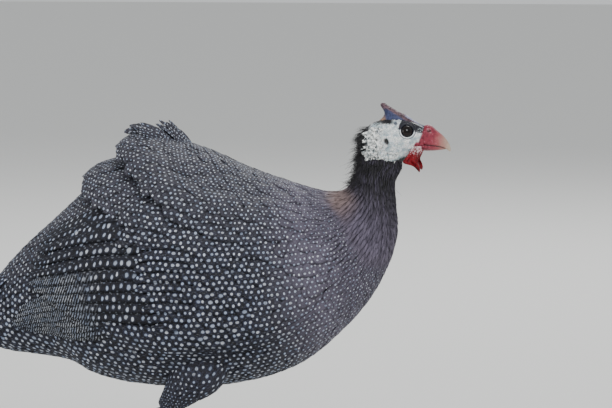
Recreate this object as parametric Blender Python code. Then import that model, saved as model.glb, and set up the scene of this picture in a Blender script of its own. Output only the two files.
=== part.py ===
"""A guinea fowl, life size, standing still with its head up.

Lengths are in millimetres until mesh_object() turns them into metres. +X is forward, -Y is the bird's right,
+Z is up and the floor is z = 0. Angles round the trunk are in degrees, from the back (0) down to the belly (180).
"""

import math
import random

import bmesh
import bpy
import numpy as np
from mathutils import Matrix, Vector

MM = 0.001
GAP = 0.3  # between two nodes that touch
MIDDLE_OF_LENGTH = -6.7  # x of the middle of the whole bird, which becomes the origin
SEED = 7
FLAT = math.radians(0.8)  # faces that bend less than this are one
RIGHT, LEFT = -1, 1
SIDE_NAMES = {RIGHT: "right", LEFT: "left"}

# The trunk from the tail's end to the head: back point, belly point (x, z) and half width.
TRUNK = (
    ((-190, 150), (-172, 131), 13),
    ((-176, 173), (-156, 127), 23),
    ((-159, 196), (-131, 124), 31),
    ((-139, 217), (-105, 120), 42),
    ((-116, 238), (-84, 110), 57),
    ((-90, 262), (-60, 104), 67),
    ((-60, 285), (-32, 101), 75),
    ((-27, 300), (-2, 101), 79),
    ((6, 292.5), (28, 104), 78),
    ((35, 280), (58, 111), 74),
    ((61, 270.5), (88, 125), 67),
    ((83, 263.5), (115, 148), 58),
    ((99, 259.5), (137, 174), 47),
    ((110, 259.5), (151.5, 201), 37),
    ((118, 262.5), (158.5, 226), 27),
    ((123, 269.5), (157.5, 248), 19.5),
    ((126, 279.5), (156.5, 267), 16),
    ((126.5, 290), (162, 279), 15),
    ((131, 302), (160, 292), 12),
)
TAIL_CUT, NECK_CUT = 3, 14  # the sections where the tail and the neck part from the torso
NECK_END = 18
LOW_WIDTH = 0.1  # how far below the middle a section is widest, in half heights
TORSO_SIDES, NECK_SIDES = 26, 18

# Folded wing: s is a place along TRUNK.
WING_FRONT, WING_REAR = 12.6, 4.6
WING_THICK, WING_SUNK = 3.2, 2.6
VANE_THICK, VANE_STEP = 0.6, 1.05
VANE_OVERLAP = 0.9  # half a vane's width, in steps from one vane to the next

HEAD = (
    # x, top, bottom, half width
    (127.5, 301, 290, 6.5),
    (131, 307.5, 285, 11),
    (137, 313.5, 281, 13.8),
    (145, 317, 279.5, 15),
    (154, 319, 280.5, 15),
    (162, 319, 284, 13.6),
    (169, 317, 288.5, 11),
    (175, 314.6, 291.5, 8.6),
    (179.7, 313, 292.8, 7.2),
)
EYE_AT, EYE_RADIUS = (164.5, 8.5, 307.7), 5.4
EYE_LOOKS = (0.33, 0.89, 0.31)  # the way the eye faces
LID_THICK, LID_OPEN = 1.1, (4.5, 4.0)  # the lids' opening has these half lengths, along the head and upright
EAR_AT = (149.2, 14.6, 299.3)
CASQUE = (
    # z, back x, front x, half width
    (312, 140, 177, 6.4),
    (315, 141.5, 175, 6.2),
    (318, 145.5, 170, 5.6),
    (321.4, 147.8, 165, 4.8),
    (324.3, 147.3, 158.5, 4.0),
    (327, 145.6, 153.8, 3.4),
    (329.2, 144.4, 150, 2.6),
    (330.6, 145.8, 148.2, 1.2),
)
UPPER_BILL = (
    # culmen (x, z), cutting edge (x, z), half width
    ((180, 313), (180, 298.5), 7.2),
    ((185.5, 312.2), (185, 298), 6.9),
    ((190.5, 308.6), (189.5, 297.4), 5.8),
    ((195, 304.8), (193.5, 296.6), 4.5),
    ((198.6, 300.4), (196.4, 295.4), 3.0),
    ((200.6, 296), (198.8, 293.6), 1.6),
    ((200.9, 292.8), (200.1, 292.4), 0.4),
)
LOWER_BILL = (
    # cutting edge (x, z), underside (x, z), half width
    ((180, 297.9), (180, 292.9), 6.2),
    ((186, 297.2), (186, 292.9), 5.4),
    ((191.5, 296.4), (191.5, 293.4), 4.0),
    ((195.5, 295.4), (195.3, 293.9), 2.0),
    ((197.2, 294.5), (197.2, 294.2), 0.5),
)

HEEL, TOE_ROOT = (-27, 36, 84), (-8, 33, 8)
THIGH = (
    # centre, half length along the bird, half width
    ((14, 40, 140), 24, 19),
    ((4, 41, 120), 23, 18),
    ((-8, 40, 105), 16, 13),
    ((-17, 38, 95), 11, 9.5),
    ((-23, 37, 88.5), 8, 7.4),
)
SHANK = (
    # share of the way from heel to toe root, half depth, half width
    (-0.05, 4.6, 4.2),
    (0.0, 6.4, 5.6),
    (0.09, 6.0, 5.0),
    (0.18, 4.4, 3.9),
    (0.8, 4.1, 3.8),
    (0.93, 4.9, 4.9),
    (1.03, 5.0, 5.4),
)
SCUTES = 9
TOES = {
    # name: heading in degrees from straight ahead towards the outside, length, claw length
    "inner": (-30, 35, 10),
    "middle": (-3, 47, 12),
    "outer": (32, 37, 10),
    "hind": (168, 17, 8),
}


def material(name, colour, roughness, metallic=0.0):
    made = bpy.data.materials.new(name)
    made.use_nodes = True
    shader = made.node_tree.nodes["Principled BSDF"]
    shader.inputs["Base Color"].default_value = (*colour, 1.0)
    shader.inputs["Roughness"].default_value = roughness
    shader.inputs["Metallic"].default_value = metallic
    made.diffuse_color = (*colour, 1.0)
    return made


def materials():
    return {
        "plumage": material("plumage", (0.075, 0.07, 0.085), 0.75),
        "neck_plumage": material("neck_plumage", (0.11, 0.095, 0.12), 0.8),
        "face_skin": material("face_skin", (0.78, 0.80, 0.82), 0.6),
        "casque_horn": material("casque_horn", (0.30, 0.13, 0.12), 0.5),
        "bill_horn": material("bill_horn", (0.66, 0.42, 0.33), 0.4),
        "wattle_skin": material("wattle_skin", (0.62, 0.03, 0.04), 0.5),
        "eye": material("eye", (0.02, 0.015, 0.012), 0.08),
        "leg_skin": material("leg_skin", (0.10, 0.09, 0.09), 0.55),
        "claw_horn": material("claw_horn", (0.07, 0.06, 0.055), 0.4),
    }


def mesh_object(name, points, faces, paint):
    """One closed mesh from points in millimetres, its faces turned outwards."""
    mesh = bpy.data.meshes.new(name)
    places = (np.asarray(points, float) - (MIDDLE_OF_LENGTH, 0, 0)) * MM
    mesh.from_pydata([tuple(p) for p in places], [], faces)
    made = bpy.data.objects.new(name, mesh)
    bpy.context.scene.collection.objects.link(made)
    mesh.materials.append(paint)
    work = bmesh.new()
    work.from_mesh(mesh)
    bmesh.ops.recalc_face_normals(work, faces=work.faces)
    work.to_mesh(mesh)
    work.free()
    return made


def lofted(name, rings, paint):
    """Rings of like count joined in order by triangles, with both ends closed by a fan to their middle."""
    count = len(rings[0])
    points = [p for ring in rings for p in ring]
    faces = []
    for i in range(len(rings) - 1):
        for j in range(count):
            a, b = i * count + j, i * count + (j + 1) % count
            faces += [(a, b, b + count), (a, b + count, a + count)]
    for row in (0, len(rings) - 1):
        points.append(np.mean(rings[row], axis=0))
        first = row * count
        faces += [(first + j, first + (j + 1) % count, len(points) - 1) for j in range(count)]
    return mesh_object(name, points, faces, paint)


def evaluated_copy(thing):
    """Its mesh with the modifiers applied."""
    graph = bpy.context.evaluated_depsgraph_get()
    return bpy.data.meshes.new_from_object(thing.evaluated_get(graph), depsgraph=graph)


def keep_largest(mesh):
    """Drops every closed surface but the one with the largest box, and joins the splinters of flat faces."""
    work = bmesh.new()
    work.from_mesh(mesh)
    bmesh.ops.remove_doubles(work, verts=work.verts, dist=1e-7)
    bmesh.ops.dissolve_limit(work, angle_limit=FLAT, verts=work.verts, edges=work.edges)
    bmesh.ops.triangulate(work, faces=work.faces)
    left, islands = set(work.verts), []
    while left:
        island, reached = set(), [left.pop()]
        while reached:
            vert = reached.pop()
            island.add(vert)
            for edge in vert.link_edges:
                other = edge.other_vert(vert)
                if other in left:
                    left.discard(other)
                    reached.append(other)
        islands.append(island)

    def size(island):
        places = np.array([v.co for v in island])
        return float(np.prod(np.ptp(places, axis=0) + 1e-6))

    islands.sort(key=size)
    for island in islands[:-1]:
        bmesh.ops.delete(work, geom=list(island), context="VERTS")
    work.to_mesh(mesh)
    work.free()


def boolean(thing, others, operation, solver="EXACT"):
    """One Boolean with a collection of the others, which are then removed."""
    group = bpy.data.collections.new("pieces")
    bpy.context.scene.collection.children.link(group)
    for other in others:
        bpy.context.scene.collection.objects.unlink(other)
        group.objects.link(other)
    step = thing.modifiers.new("boolean", "BOOLEAN")
    step.operation, step.solver = operation, solver
    step.operand_type, step.collection = "COLLECTION", group
    bpy.context.view_layer.update()
    mesh = evaluated_copy(thing)
    thing.modifiers.remove(step)
    thing.data = mesh
    for other in list(group.objects):
        bpy.data.objects.remove(other)
    bpy.data.collections.remove(group)
    keep_largest(thing.data)
    return thing


def fused(thing, others):
    return boolean(thing, others, "UNION", "MANIFOLD")


def cut(thing, others):
    return boolean(thing, others, "DIFFERENCE", "MANIFOLD")


def grown(thing, by):
    """A copy of a mesh with its surface moved out, for cutting room round it."""
    made = bpy.data.objects.new(thing.name + "_grown", thing.data.copy())
    bpy.context.scene.collection.objects.link(made)
    places = [v.co + v.normal * by * MM for v in made.data.vertices]
    for vert, place in zip(made.data.vertices, places):
        vert.co = place
    return made


def curve(values, s):
    """A smooth curve through the values, one of them at each whole s."""
    values = np.asarray(values, float)
    last = len(values) - 1
    i = int(min(max(math.floor(s), 0), last - 1))
    t = s - i
    before, a, b, after = (values[min(max(k, 0), last)] for k in (i - 1, i, i + 1, i + 2))
    return 0.5 * (
        2 * a + (b - before) * t + (2 * before - 5 * a + 4 * b - after) * t**2 + (3 * a - before - 3 * b + after) * t**3
    )


def table_curve(table, s):
    """The same for a table whose rows hold points and numbers."""
    return curve([np.hstack(row) for row in table], s)


def trunk_base(s, angle):
    back_x, back_z, belly_x, belly_z, width = table_curve(TRUNK, s)
    turn = math.radians(angle)
    rise = math.cos(turn) - LOW_WIDTH * math.sin(turn) ** 2
    x = (back_x + belly_x) / 2 + (back_x - belly_x) / 2 * rise
    z = (back_z + belly_z) / 2 + (back_z - belly_z) / 2 * rise
    return np.array([x, width * math.sin(turn), z])


def trunk(s, angle, height=0.0):
    """A point on the trunk's left side, or so far above its surface. Negative angles are on the right."""
    place = trunk_base(s, angle)
    if height:
        forward = trunk_base(s + 0.05, angle) - trunk_base(s - 0.05, angle)
        round_it = trunk_base(s, angle + 1) - trunk_base(s, angle - 1)
        normal = np.cross(forward, round_it)
        place = place + normal / np.linalg.norm(normal) * height
    return place


def trunk_ring(s, sides, shift=0.0):
    """A section of the trunk, moved along its own normal by shift."""
    back_x, back_z, belly_x, belly_z, _ = table_curve(TRUNK, s)
    normal = np.array([back_z - belly_z, 0, belly_x - back_x])
    normal /= np.linalg.norm(normal)
    return [trunk_base(s, 360 * j / sides) + normal * shift for j in range(sides)]


def trunk_part(name, first, last, step, sides, paint, gap_first=True, gap_last=True):
    """The trunk between two sections, short of each by half the gap."""
    count = round((last - first) / step)
    rings = [trunk_ring(first + (last - first) * i / count, sides) for i in range(1, count)]
    start = trunk_ring(first, sides, GAP / 2 if gap_first else 0)
    end = trunk_ring(last, sides, -GAP / 2 if gap_last else 0)
    return lofted(name, [start, *rings, end], paint)


def ellipse(centre, along, across, half_along, half_across, sides):
    turns = [2 * math.pi * j / sides for j in range(sides)]
    centre, along, across = (np.asarray(v, float) for v in (centre, along, across))
    return [centre + along * half_along * math.cos(a) + across * half_across * math.sin(a) for a in turns]


def ball(name, centre, halves, paint, sides=12, rows=7):
    """An ellipsoid, its poles up and down."""
    rings = []
    for i in range(rows):
        tilt = math.pi * (i + 0.5) / rows
        place = (centre[0], centre[1], centre[2] - halves[2] * math.cos(tilt))
        reach = math.sin(tilt)
        rings.append(ellipse(place, (1, 0, 0), (0, 1, 0), halves[0] * reach, halves[1] * reach, sides))
    return lofted(name, rings, paint)


VANE_SHAPE = (
    # share of the length, share of the half width
    (0.0, 0.55),
    (0.22, 0.86),
    (0.45, 1.0),
    (0.68, 0.98),
    (0.9, 0.76),
    (1.0, 0.25),
)


RUFFLE_SHAPE = (
    (0.0, 0.6),
    (0.3, 0.92),
    (0.65, 1.0),
    (0.9, 0.72),
    (1.0, 0.25),
)


def vane(surface, root, tip, spread, paint, rise=(0.0, 0.0, 0.0), stack=0.0, shape=VANE_SHAPE, thick=VANE_THICK):
    """One feather as a thin plate over a surface(along, sideways, height).

    root and tip are (along, sideways), and spread is half the width sideways at the root and the tip. rise is the
    height at the root, the middle and the tip, and stack is how much higher the far edge is than the near one.
    """
    points, faces = [], []
    for share, wide in shape:
        along = root[0] + (tip[0] - root[0]) * share
        middle = root[1] + (tip[1] - root[1]) * share
        half = (spread[0] + (spread[1] - spread[0]) * share) * wide
        height = curve(rise, 2 * share)
        lean = stack * wide
        near, far = middle - half, middle + half
        points += [surface(along, near, height - lean + thick / 2), surface(along, far, height + lean + thick / 2)]
        points += [surface(along, far, height + lean - thick / 2), surface(along, near, height - lean - thick / 2)]
    for i in range(len(shape) - 1):
        a, b = 4 * i, 4 * i + 4
        faces += [(a, a + 1, b + 1), (a, b + 1, b)]
        faces += [(a + 3, b + 2, a + 2), (a + 3, b + 3, b + 2)]
        faces += [(a + 1, a + 2, b + 2), (a + 1, b + 2, b + 1), (a + 3, a, b), (a + 3, b, b + 3)]
    end = 4 * len(shape) - 4
    faces += [(0, 3, 2), (0, 2, 1), (end, end + 1, end + 2), (end, end + 2, end + 3)]
    return mesh_object("vane", points, faces, paint)


def wing_outline(s):
    """The upper and lower edge of the folded wing's core at s, in degrees from the back."""
    share = (WING_FRONT - s) / (WING_FRONT - WING_REAR)
    middle = curve((84, 80, 84, 90, 93), 4 * share)
    half = curve((9, 30, 36, 34, 14), 4 * share)
    return middle - half, middle + half


def wing_core(side, paint, room=0.0):
    """The arm and hand under their small feathers, or the room it takes in the torso."""
    rings, rows = [], 10
    ends = 0.03 if room else 0.0
    for i in range(rows):
        share = i / (rows - 1)
        s = WING_FRONT - (WING_FRONT - WING_REAR) * share
        upper, lower = wing_outline(s)
        wider = math.degrees(room / 60)
        upper, lower = upper - wider, lower + wider
        s += ends * (1 - 2 * share)
        thick = WING_THICK * (1 - abs(2 * share - 0.9) ** 3 * 0.6)
        ring = []
        for across in (0, 0.25, 0.5, 0.75, 1):
            bulge = 1 - abs(2 * across - 1) ** 2.5 * 0.9
            height = 6 if room else thick * bulge
            ring.append(trunk(s, upper + (lower - upper) * across, height))
        for across in (1, 0.66, 0.33, 0):
            ring.append(trunk(s, upper + (lower - upper) * across, -WING_SUNK - room))
        rings.append([p * (1, side, 1) for p in ring])
    return lofted("wing_" + SIDE_NAMES[side], rings, paint)


def wing_tier(side, count, roots, tips, fan, height, paint):
    """A tier of flight feathers or coverts. Each lies over the next one down.

    roots and tips are places along the trunk, and fan holds where the roots lie across the core, as shares of its
    width, and the angles of the tips. Each has a value for the uppermost, the middle and the lowest feather.
    """

    def surface(s, angle, h):
        return trunk(s, angle, h) * (1, side, 1)

    made = []
    for k in range(count):
        share = 2 * k / (count - 1)
        upper, lower = wing_outline(curve(roots, share))
        root = (curve(roots, share), upper + (lower - upper) * curve(fan[0], share))
        tip = (curve(tips, share), curve(fan[1], share))
        across = ((lower - upper) * (fan[0][2] - fan[0][0]), fan[1][2] - fan[1][0])
        steps = [width / (count - 1) * VANE_OVERLAP for width in across]
        lean = VANE_STEP * VANE_OVERLAP
        made.append(vane(surface, root, tip, steps, paint, height, lean))
    return made


def build_wing(side, paint):
    wing = wing_core(side, paint)
    primaries = wing_tier(
        side, 6, (7.4, 7.2, 7.0), (2.3, 1.7, 2.6), ((0.42, 0.6, 0.8), (82, 97, 112)), (0.2, 3.4, 2.4), paint
    )
    secondaries = wing_tier(
        side, 10, (9.6, 9.5, 9.3), (3.9, 3.2, 4.9), ((0.12, 0.5, 0.88), (46, 80, 118)), (0.4, 6.0, 5.4), paint
    )
    coverts = wing_tier(
        side, 9, (11.0, 10.9, 10.6), (7.0, 6.6, 6.8), ((0.14, 0.5, 0.86), (48, 84, 121)), (0.4, 6.8, 8.4), paint
    )
    return fused(wing, primaries + secondaries + coverts)


TAIL_ROOT = (-146, 196)  # where the tail feathers' fan starts, (x, z)
TAIL_SLOPE = 49  # degrees below level


def tail_fan(along, sideways, height):
    """The arched fan of the tail. sideways runs from -1 to 1."""
    slope = math.radians(TAIL_SLOPE)
    back, up = np.array([-math.cos(slope), 0, -math.sin(slope)]), np.array([-math.sin(slope), 0, math.cos(slope)])
    half = 15 + 0.16 * along
    drop = 0.42 * half * sideways**2 + 0.0005 * along**2
    normal = up + np.array([0, 0.84 * sideways, 0])
    place = np.array([TAIL_ROOT[0], half * sideways, TAIL_ROOT[1]])
    return place + back * along - up * drop + normal / np.linalg.norm(normal) * height


def tail_tier(count, reach, widest, height, lengths, paint, upper=True):
    """Feathers side by side across the fan, the middle one on top, or lowest where upper is False."""
    made, pitch = [], 2 * widest / (count - 1)
    for k in range(count):
        sideways = -widest + pitch * k
        middle = abs(sideways) < pitch / 2
        length = lengths[0] + (lengths[1] - lengths[0]) * abs(sideways / widest) ** 1.6
        lean = VANE_STEP * VANE_OVERLAP * (1 if sideways > 0 else -1) * (1 if upper else -1)
        rise = np.array(height) + (lean * (1 if upper else -1) * np.sign(sideways or 1) if middle else 0)
        rise = [rise[0], rise[1], rise[2]]
        edge = pitch * VANE_OVERLAP
        made.append(
            vane(tail_fan, (reach, sideways * 0.85), (length, sideways), (edge, edge), paint, rise, 0 if middle else lean)
        )
    return made


def build_tail(paint):
    core = trunk_part("tail", 0, TAIL_CUT, 0.5, 20, paint, gap_first=False)
    feathers = tail_tier(13, 20, 1.0, (0, 0, 0), (112, 92), paint)
    upper = tail_tier(9, 14, 0.86, (3, 6.5, 4.5), (86, 70), paint)
    under = tail_tier(7, 22, 0.8, (-16, -13, -7), (88, 74), paint, upper=False)
    return fused(core, feathers + upper + under)


# Raised feathers of the back: place along the trunk at root and tip, angle at root and tip, tip height.
RUFFLES = (
    (6.75, 5.45, -25, -28, 9),
    (6.85, 5.3, -15, -18, 10),
    (6.85, 5.25, -6, -9, 10),
    (6.8, 5.3, 3, 2, 9),
    (6.8, 5.35, 12, 13, 9),
    (6.7, 5.5, 22, 24, 8),
    (7.5, 6.0, -22, -26, 10),
    (7.6, 5.85, -11, -16, 12),
    (7.6, 5.9, 1, -1, 12),
    (7.5, 6.0, 13, 18, 10),
    (8.0, 6.6, -14, -17, 11),
    (8.0, 6.65, 8, 11, 10),
    (8.4, 7.15, -6, -5, 8),
)


def build_torso(paint):
    torso = trunk_part("torso", TAIL_CUT, NECK_CUT, 0.55, TORSO_SIDES, paint)
    cut(torso, [wing_core(side, paint, 1.5 * GAP) for side in (RIGHT, LEFT)])
    raised = []
    for n, (s_root, s_tip, angle_root, angle_tip, tip_height) in enumerate(RUFFLES):
        lift = 0.5 * (n % 3)
        rise = (-4.0, 1.5 + lift + tip_height * 0.25, tip_height)
        ends = (s_root, angle_root), (s_tip, angle_tip)
        raised.append(vane(trunk, *ends, (7.5, 8.5), paint, rise, shape=RUFFLE_SHAPE, thick=0.9))
    return fused(torso, raised)


def head_base(paint, room=0.0):
    rings = []
    rows = 13
    for i in range(rows):
        x, top, bottom, half = curve(HEAD, i * (len(HEAD) - 1) / (rows - 1))
        x += room * (2 * i / (rows - 1) - 1)
        ring = []
        for j in range(16):
            turn = 2 * math.pi * j / 16
            up = ((top - bottom) / 2 + room) * math.cos(turn)
            ring.append((x, (half + room) * math.sin(turn), (top + bottom) / 2 + up))
        rings.append(ring)
    return lofted("head", rings, paint)


def head_room(paint):
    """The space that the head's plain form and its folds need, for cutting out of the neck and the casque."""
    folds = []
    for side in (RIGHT, LEFT):
        folds += skin_folds(side, paint, 2 * GAP)
    return [head_base(paint, 1.5 * GAP), *folds]


def skin_folds(side, paint, room=0.0):
    return [ball("fold", np.array(at) * (1, side, 1), [h + room for h in halves], paint, 6, 4) for at, halves in SKIN_FOLDS]


def ring_tube(name, centre, normal, major, minor, paint, stretch=1.0, sides=12, round_it=5):
    """A closed ring of flesh about an axis, such as the rim of the ear."""
    normal = np.asarray(normal, float) / np.linalg.norm(normal)
    across = np.cross((0, 0, 1), normal)
    across /= np.linalg.norm(across)
    up = np.cross(normal, across)
    points, faces = [], []
    for i in range(sides):
        turn = 2 * math.pi * i / sides
        way = across * math.cos(turn) * stretch + up * math.sin(turn)
        for j in range(round_it):
            tilt = 2 * math.pi * j / round_it
            points.append(np.asarray(centre) + way * (major + minor * math.cos(tilt)) + normal * minor * math.sin(tilt))
    for i in range(sides):
        for j in range(round_it):
            a, b = i * round_it + j, i * round_it + (j + 1) % round_it
            c, d = ((i + 1) % sides) * round_it + j, ((i + 1) % sides) * round_it + (j + 1) % round_it
            faces += [(a, b, d), (a, d, c)]
    return mesh_object(name, points, faces, paint)


# Loose folds of bare skin behind and below the ear: centre, half lengths.
SKIN_FOLDS = (
    ((139, 11.4, 302), (7.0, 2.8, 3.4)),
    ((140.5, 12.2, 294.5), (7.5, 3.0, 3.6)),
    ((147.5, 12.6, 288.5), (8.5, 3.0, 3.2)),
    ((158.5, 11.2, 286.8), (8.0, 2.6, 2.8)),
)


def build_head(paint):
    head = head_base(paint)
    added, holes = [], []
    for side in (RIGHT, LEFT):
        eye = np.array(EYE_AT) * (1, side, 1)
        out = np.array(EYE_LOOKS) * (1, side, 1)
        socket = EYE_RADIUS + 1.5 * GAP
        added.append(ball("lids", eye, [socket + LID_THICK] * 3, paint, 14, 8))
        ear = np.array(EAR_AT) * (1, side, 1)
        added.append(ring_tube("ear_rim", ear, (-0.1, side, 0), 2.3, 0.9, paint, 0.75, 8, 4))
        added += skin_folds(side, paint)
        holes.append(ball("ear_hole", ear, (1.2, 2.6, 1.7), paint, 6, 4))
        holes.append(ball("socket", eye, [socket] * 3, paint, 12, 7))
        opening = [(eye + out * far, LID_OPEN[1], LID_OPEN[0]) for far in (1, 12)]
        holes.append(tube("lid_opening", opening, paint, 12))
        slit = ball("mouth_line", (177.5, side * 9.5, 298.2), (5.5, 3.4, 0.45), paint, 6, 3)
        holes.append(slit)
    fused(head, added)
    return cut(head, holes)


def build_casque(paint):
    rings = []
    for z, back, front, half in CASQUE:
        rings.append(ellipse(((back + front) / 2, 0, z), (1, 0, 0), (0, 1, 0), (front - back) / 2, half, 14))
    return cut(lofted("casque", rings, paint), head_room(paint))


def bill_rings(table, points_up):
    """Sections with one flat side, along the cutting edge."""
    rings = []
    for i in range(2 * len(table) - 1):
        ax, az, bx, bz, half = table_curve(table, i / 2)
        (far_x, far_z), (edge_x, edge_z) = ((ax, az), (bx, bz)) if points_up else ((bx, bz), (ax, az))
        ring = []
        for turn in np.linspace(-90, 90, 9):
            share = math.cos(math.radians(turn))
            y = half * math.sin(math.radians(turn))
            ring.append((edge_x + (far_x - edge_x) * share, y, edge_z + (far_z - edge_z) * share))
        ring.append((edge_x, 0, edge_z))
        rings.append(ring)
    return rings


def build_bill(paint):
    upper = lofted("bill_upper", bill_rings(UPPER_BILL, True), paint)
    bulbs, holes = [], []
    for side in (RIGHT, LEFT):
        bulbs.append(ball("nostril_flap", (185.4, side * 4.9, 307.6), (4.2, 2.5, 3.0), paint, 8, 5))
        holes.append(ball("nostril", (185.2, side * 7.5, 305.4), (2.6, 1.6, 0.9), paint, 6, 3))
    cut(fused(upper, bulbs), holes)
    lower = lofted("bill_lower", bill_rings(LOWER_BILL, False), paint)
    return upper, lower


WATTLE = (
    # centre x, outward y, z, half length, half thickness
    (175.2, 7.0, 297.0, 4.0, 1.3),
    (174.6, 9.2, 293.6, 5.4, 1.9),
    (173.2, 10.7, 289.4, 6.2, 1.8),
    (171.8, 11.5, 285.6, 6.0, 1.6),
    (172.6, 11.7, 282.0, 4.2, 1.4),
    (174.8, 11.4, 278.8, 1.8, 0.9),
)


def build_wattle(side, head, paint):
    """A pendent flap of skin at the gape, folded lengthwise and notched below."""
    rings = []
    for i in range(2 * len(WATTLE) - 1):
        x, y, z, half, thick = curve(WATTLE, i / 2)
        ring = ellipse((x, y * side, z), (1, 0, 0), (0, 1, 0), half, thick, 10)
        fold = min(i, 6) * 0.16
        rings.append([p + (0, side * fold * math.sin((p[0] - x) * 0.95), 0) for p in ring])
    flap = lofted("wattle_" + SIDE_NAMES[side], rings, paint)
    lobe = ball("lobe", (167.6, side * 11.6, 284.6), (3.2, 1.5, 3.6), paint, 8, 5)
    return cut(fused(flap, [lobe]), [grown(head, GAP)])


def tube(name, path, paint, sides=10, floor=False):
    """A round limb through (centre, half depth, half width), its width held square to the way it runs."""
    rings = []
    centres = [np.array(c, float) for c, _, _ in path]
    for i, (centre, deep, wide) in enumerate(path):
        way = centres[min(i + 1, len(path) - 1)] - centres[max(i - 1, 0)]
        way /= np.linalg.norm(way)
        across = np.cross(way, (0, 0, 1)) if abs(way[2]) < 0.6 else np.cross(way, (-1, 0, 0))
        across /= np.linalg.norm(across)
        ring = ellipse(centre, np.cross(across, way), across, deep, wide, sides)
        rings.append([(p[0], p[1], max(p[2], 0.0)) if floor else p for p in ring])
    return lofted(name, rings, paint)


def build_shank(side, paint):
    heel, root = np.array(HEEL, float), np.array(TOE_ROOT, float)
    rows = []
    plain = [row for row in SHANK if row[0] <= 0.18]
    low = [row for row in SHANK if row[0] >= 0.8]
    first, last = plain[-1], low[0]
    for k in range(SCUTES):
        for step, raised in ((0.15, 0.42), (0.9, 0.0)):
            share = (k + step) / SCUTES
            rows.append([a + (b - a) * share for a, b in zip(first, last)] + [raised])
    rows = [[*row, 0.0] for row in plain] + rows + [[*row, 0.0] for row in low]
    path = []
    for share, deep, wide, raised in rows:
        centre = heel + (root - heel) * share + (raised * 0.7, 0, 0)
        path.append((centre * (1, side, 1), deep + raised, wide + raised * 0.5))
    return tube("shank_" + SIDE_NAMES[side], path, paint, 8)


def build_thigh(side, torso, shank, paint):
    path = [(np.array(centre) * (1, side, 1), deep, wide) for centre, deep, wide in THIGH]
    smooth = []
    for i in range(2 * len(path) - 1):
        row = curve([np.hstack(p) for p in path], i / 2)
        smooth.append((row[:3], row[3], row[4]))
    thigh = tube("thigh_" + SIDE_NAMES[side], smooth, paint, 12)
    return cut(thigh, [grown(torso, GAP), grown(shank, GAP)])


def toe_way(side, heading):
    turn = math.radians(heading)
    return np.array([math.cos(turn), side * math.sin(turn), 0.0])


def toe_radius(share):
    """Thicker at the root and at each joint."""
    return 4.5 - 1.5 * share + 0.45 * math.cos(share * 3 * 2 * math.pi)


def build_foot(side, shank, paint):
    root = np.array(TOE_ROOT, float) * (1, side, 0)
    foot = ball("foot_" + SIDE_NAMES[side], (root[0], root[1], 5.5), (8, 8.4, 6.6), paint, 12, 7)
    for vert in foot.data.vertices:
        vert.co.z = max(vert.co.z, 0.0)
    toes, claws = [], []
    for name, (heading, length, claw) in TOES.items():
        way = toe_way(side, heading)
        start = 1.0 if name != "hind" else 2.0
        path = []
        for share in np.linspace(0, 1, 7 if length > 20 else 4):
            radius = toe_radius(share) * (1 if length > 20 else 0.8)
            lift = radius * 0.79 + (3.0 * (1 - share) if name == "hind" else 0)
            path.append((root + way * (start + length * share) + (0, 0, lift), radius * 0.92, radius))
        toes.append(tube("toe", path, paint, 7, floor=True))
        claws.append((name, path[-1], way, claw))
    fused(foot, toes)
    return cut(foot, [grown(shank, GAP)]), claws


def build_claw(side, name, end, way, length, paint):
    """A curved claw that starts a gap past its toe's flat end."""
    centre, deep, wide = end
    path = []
    for share in (0, 0.2, 0.45, 0.7, 0.9, 1.0):
        place = centre + way * (2.5 * GAP + length * share) + (0, 0, 1.0 * share - 2.6 * share**2)
        size = 0.82 - 0.72 * share
        path.append((place, deep * size, wide * size * 0.85))
    return tube(f"claw_{name}_{SIDE_NAMES[side]}", path, paint, 6)


def shade(thing):
    thing.data.shade_smooth()
    thing.data.set_sharp_from_angle(angle=math.radians(50))


def main():
    for old in list(bpy.data.objects):
        bpy.data.objects.remove(old)
    random.seed(SEED)
    paint = materials()
    torso = build_torso(paint["plumage"])
    neck = trunk_part("neck", NECK_CUT, NECK_END, 0.5, NECK_SIDES, paint["neck_plumage"], gap_last=False)
    build_tail(paint["plumage"])
    head = build_head(paint["face_skin"])
    cut(neck, head_room(paint["face_skin"]))
    build_casque(paint["casque_horn"])
    build_bill(paint["bill_horn"])
    for side in (RIGHT, LEFT):
        build_wing(side, paint["plumage"])
        eye = np.array(EYE_AT) * (1, side, 1)
        ball("eye_" + SIDE_NAMES[side], eye, [EYE_RADIUS] * 3, paint["eye"], 13, 7)
        build_wattle(side, head, paint["wattle_skin"])
        shank = build_shank(side, paint["leg_skin"])
        build_thigh(side, torso, shank, paint["plumage"])
        _, claws = build_foot(side, shank, paint["leg_skin"])
        for name, end, way, length in claws:
            build_claw(side, name, end, way, length, paint["claw_horn"])
    for thing in bpy.data.objects:
        shade(thing)


main()
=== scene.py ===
"""The looks of a standing guinea fowl: skin, feathers, head, legs and stage.

Lengths are in millimetres and angles in degrees until a mesh is written. Angles round the trunk run from the
back (0) down to the belly (180), and are negative on the bird's right.
"""

import math

import bmesh
import bpy
import numpy as np
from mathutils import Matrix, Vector, noise


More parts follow.
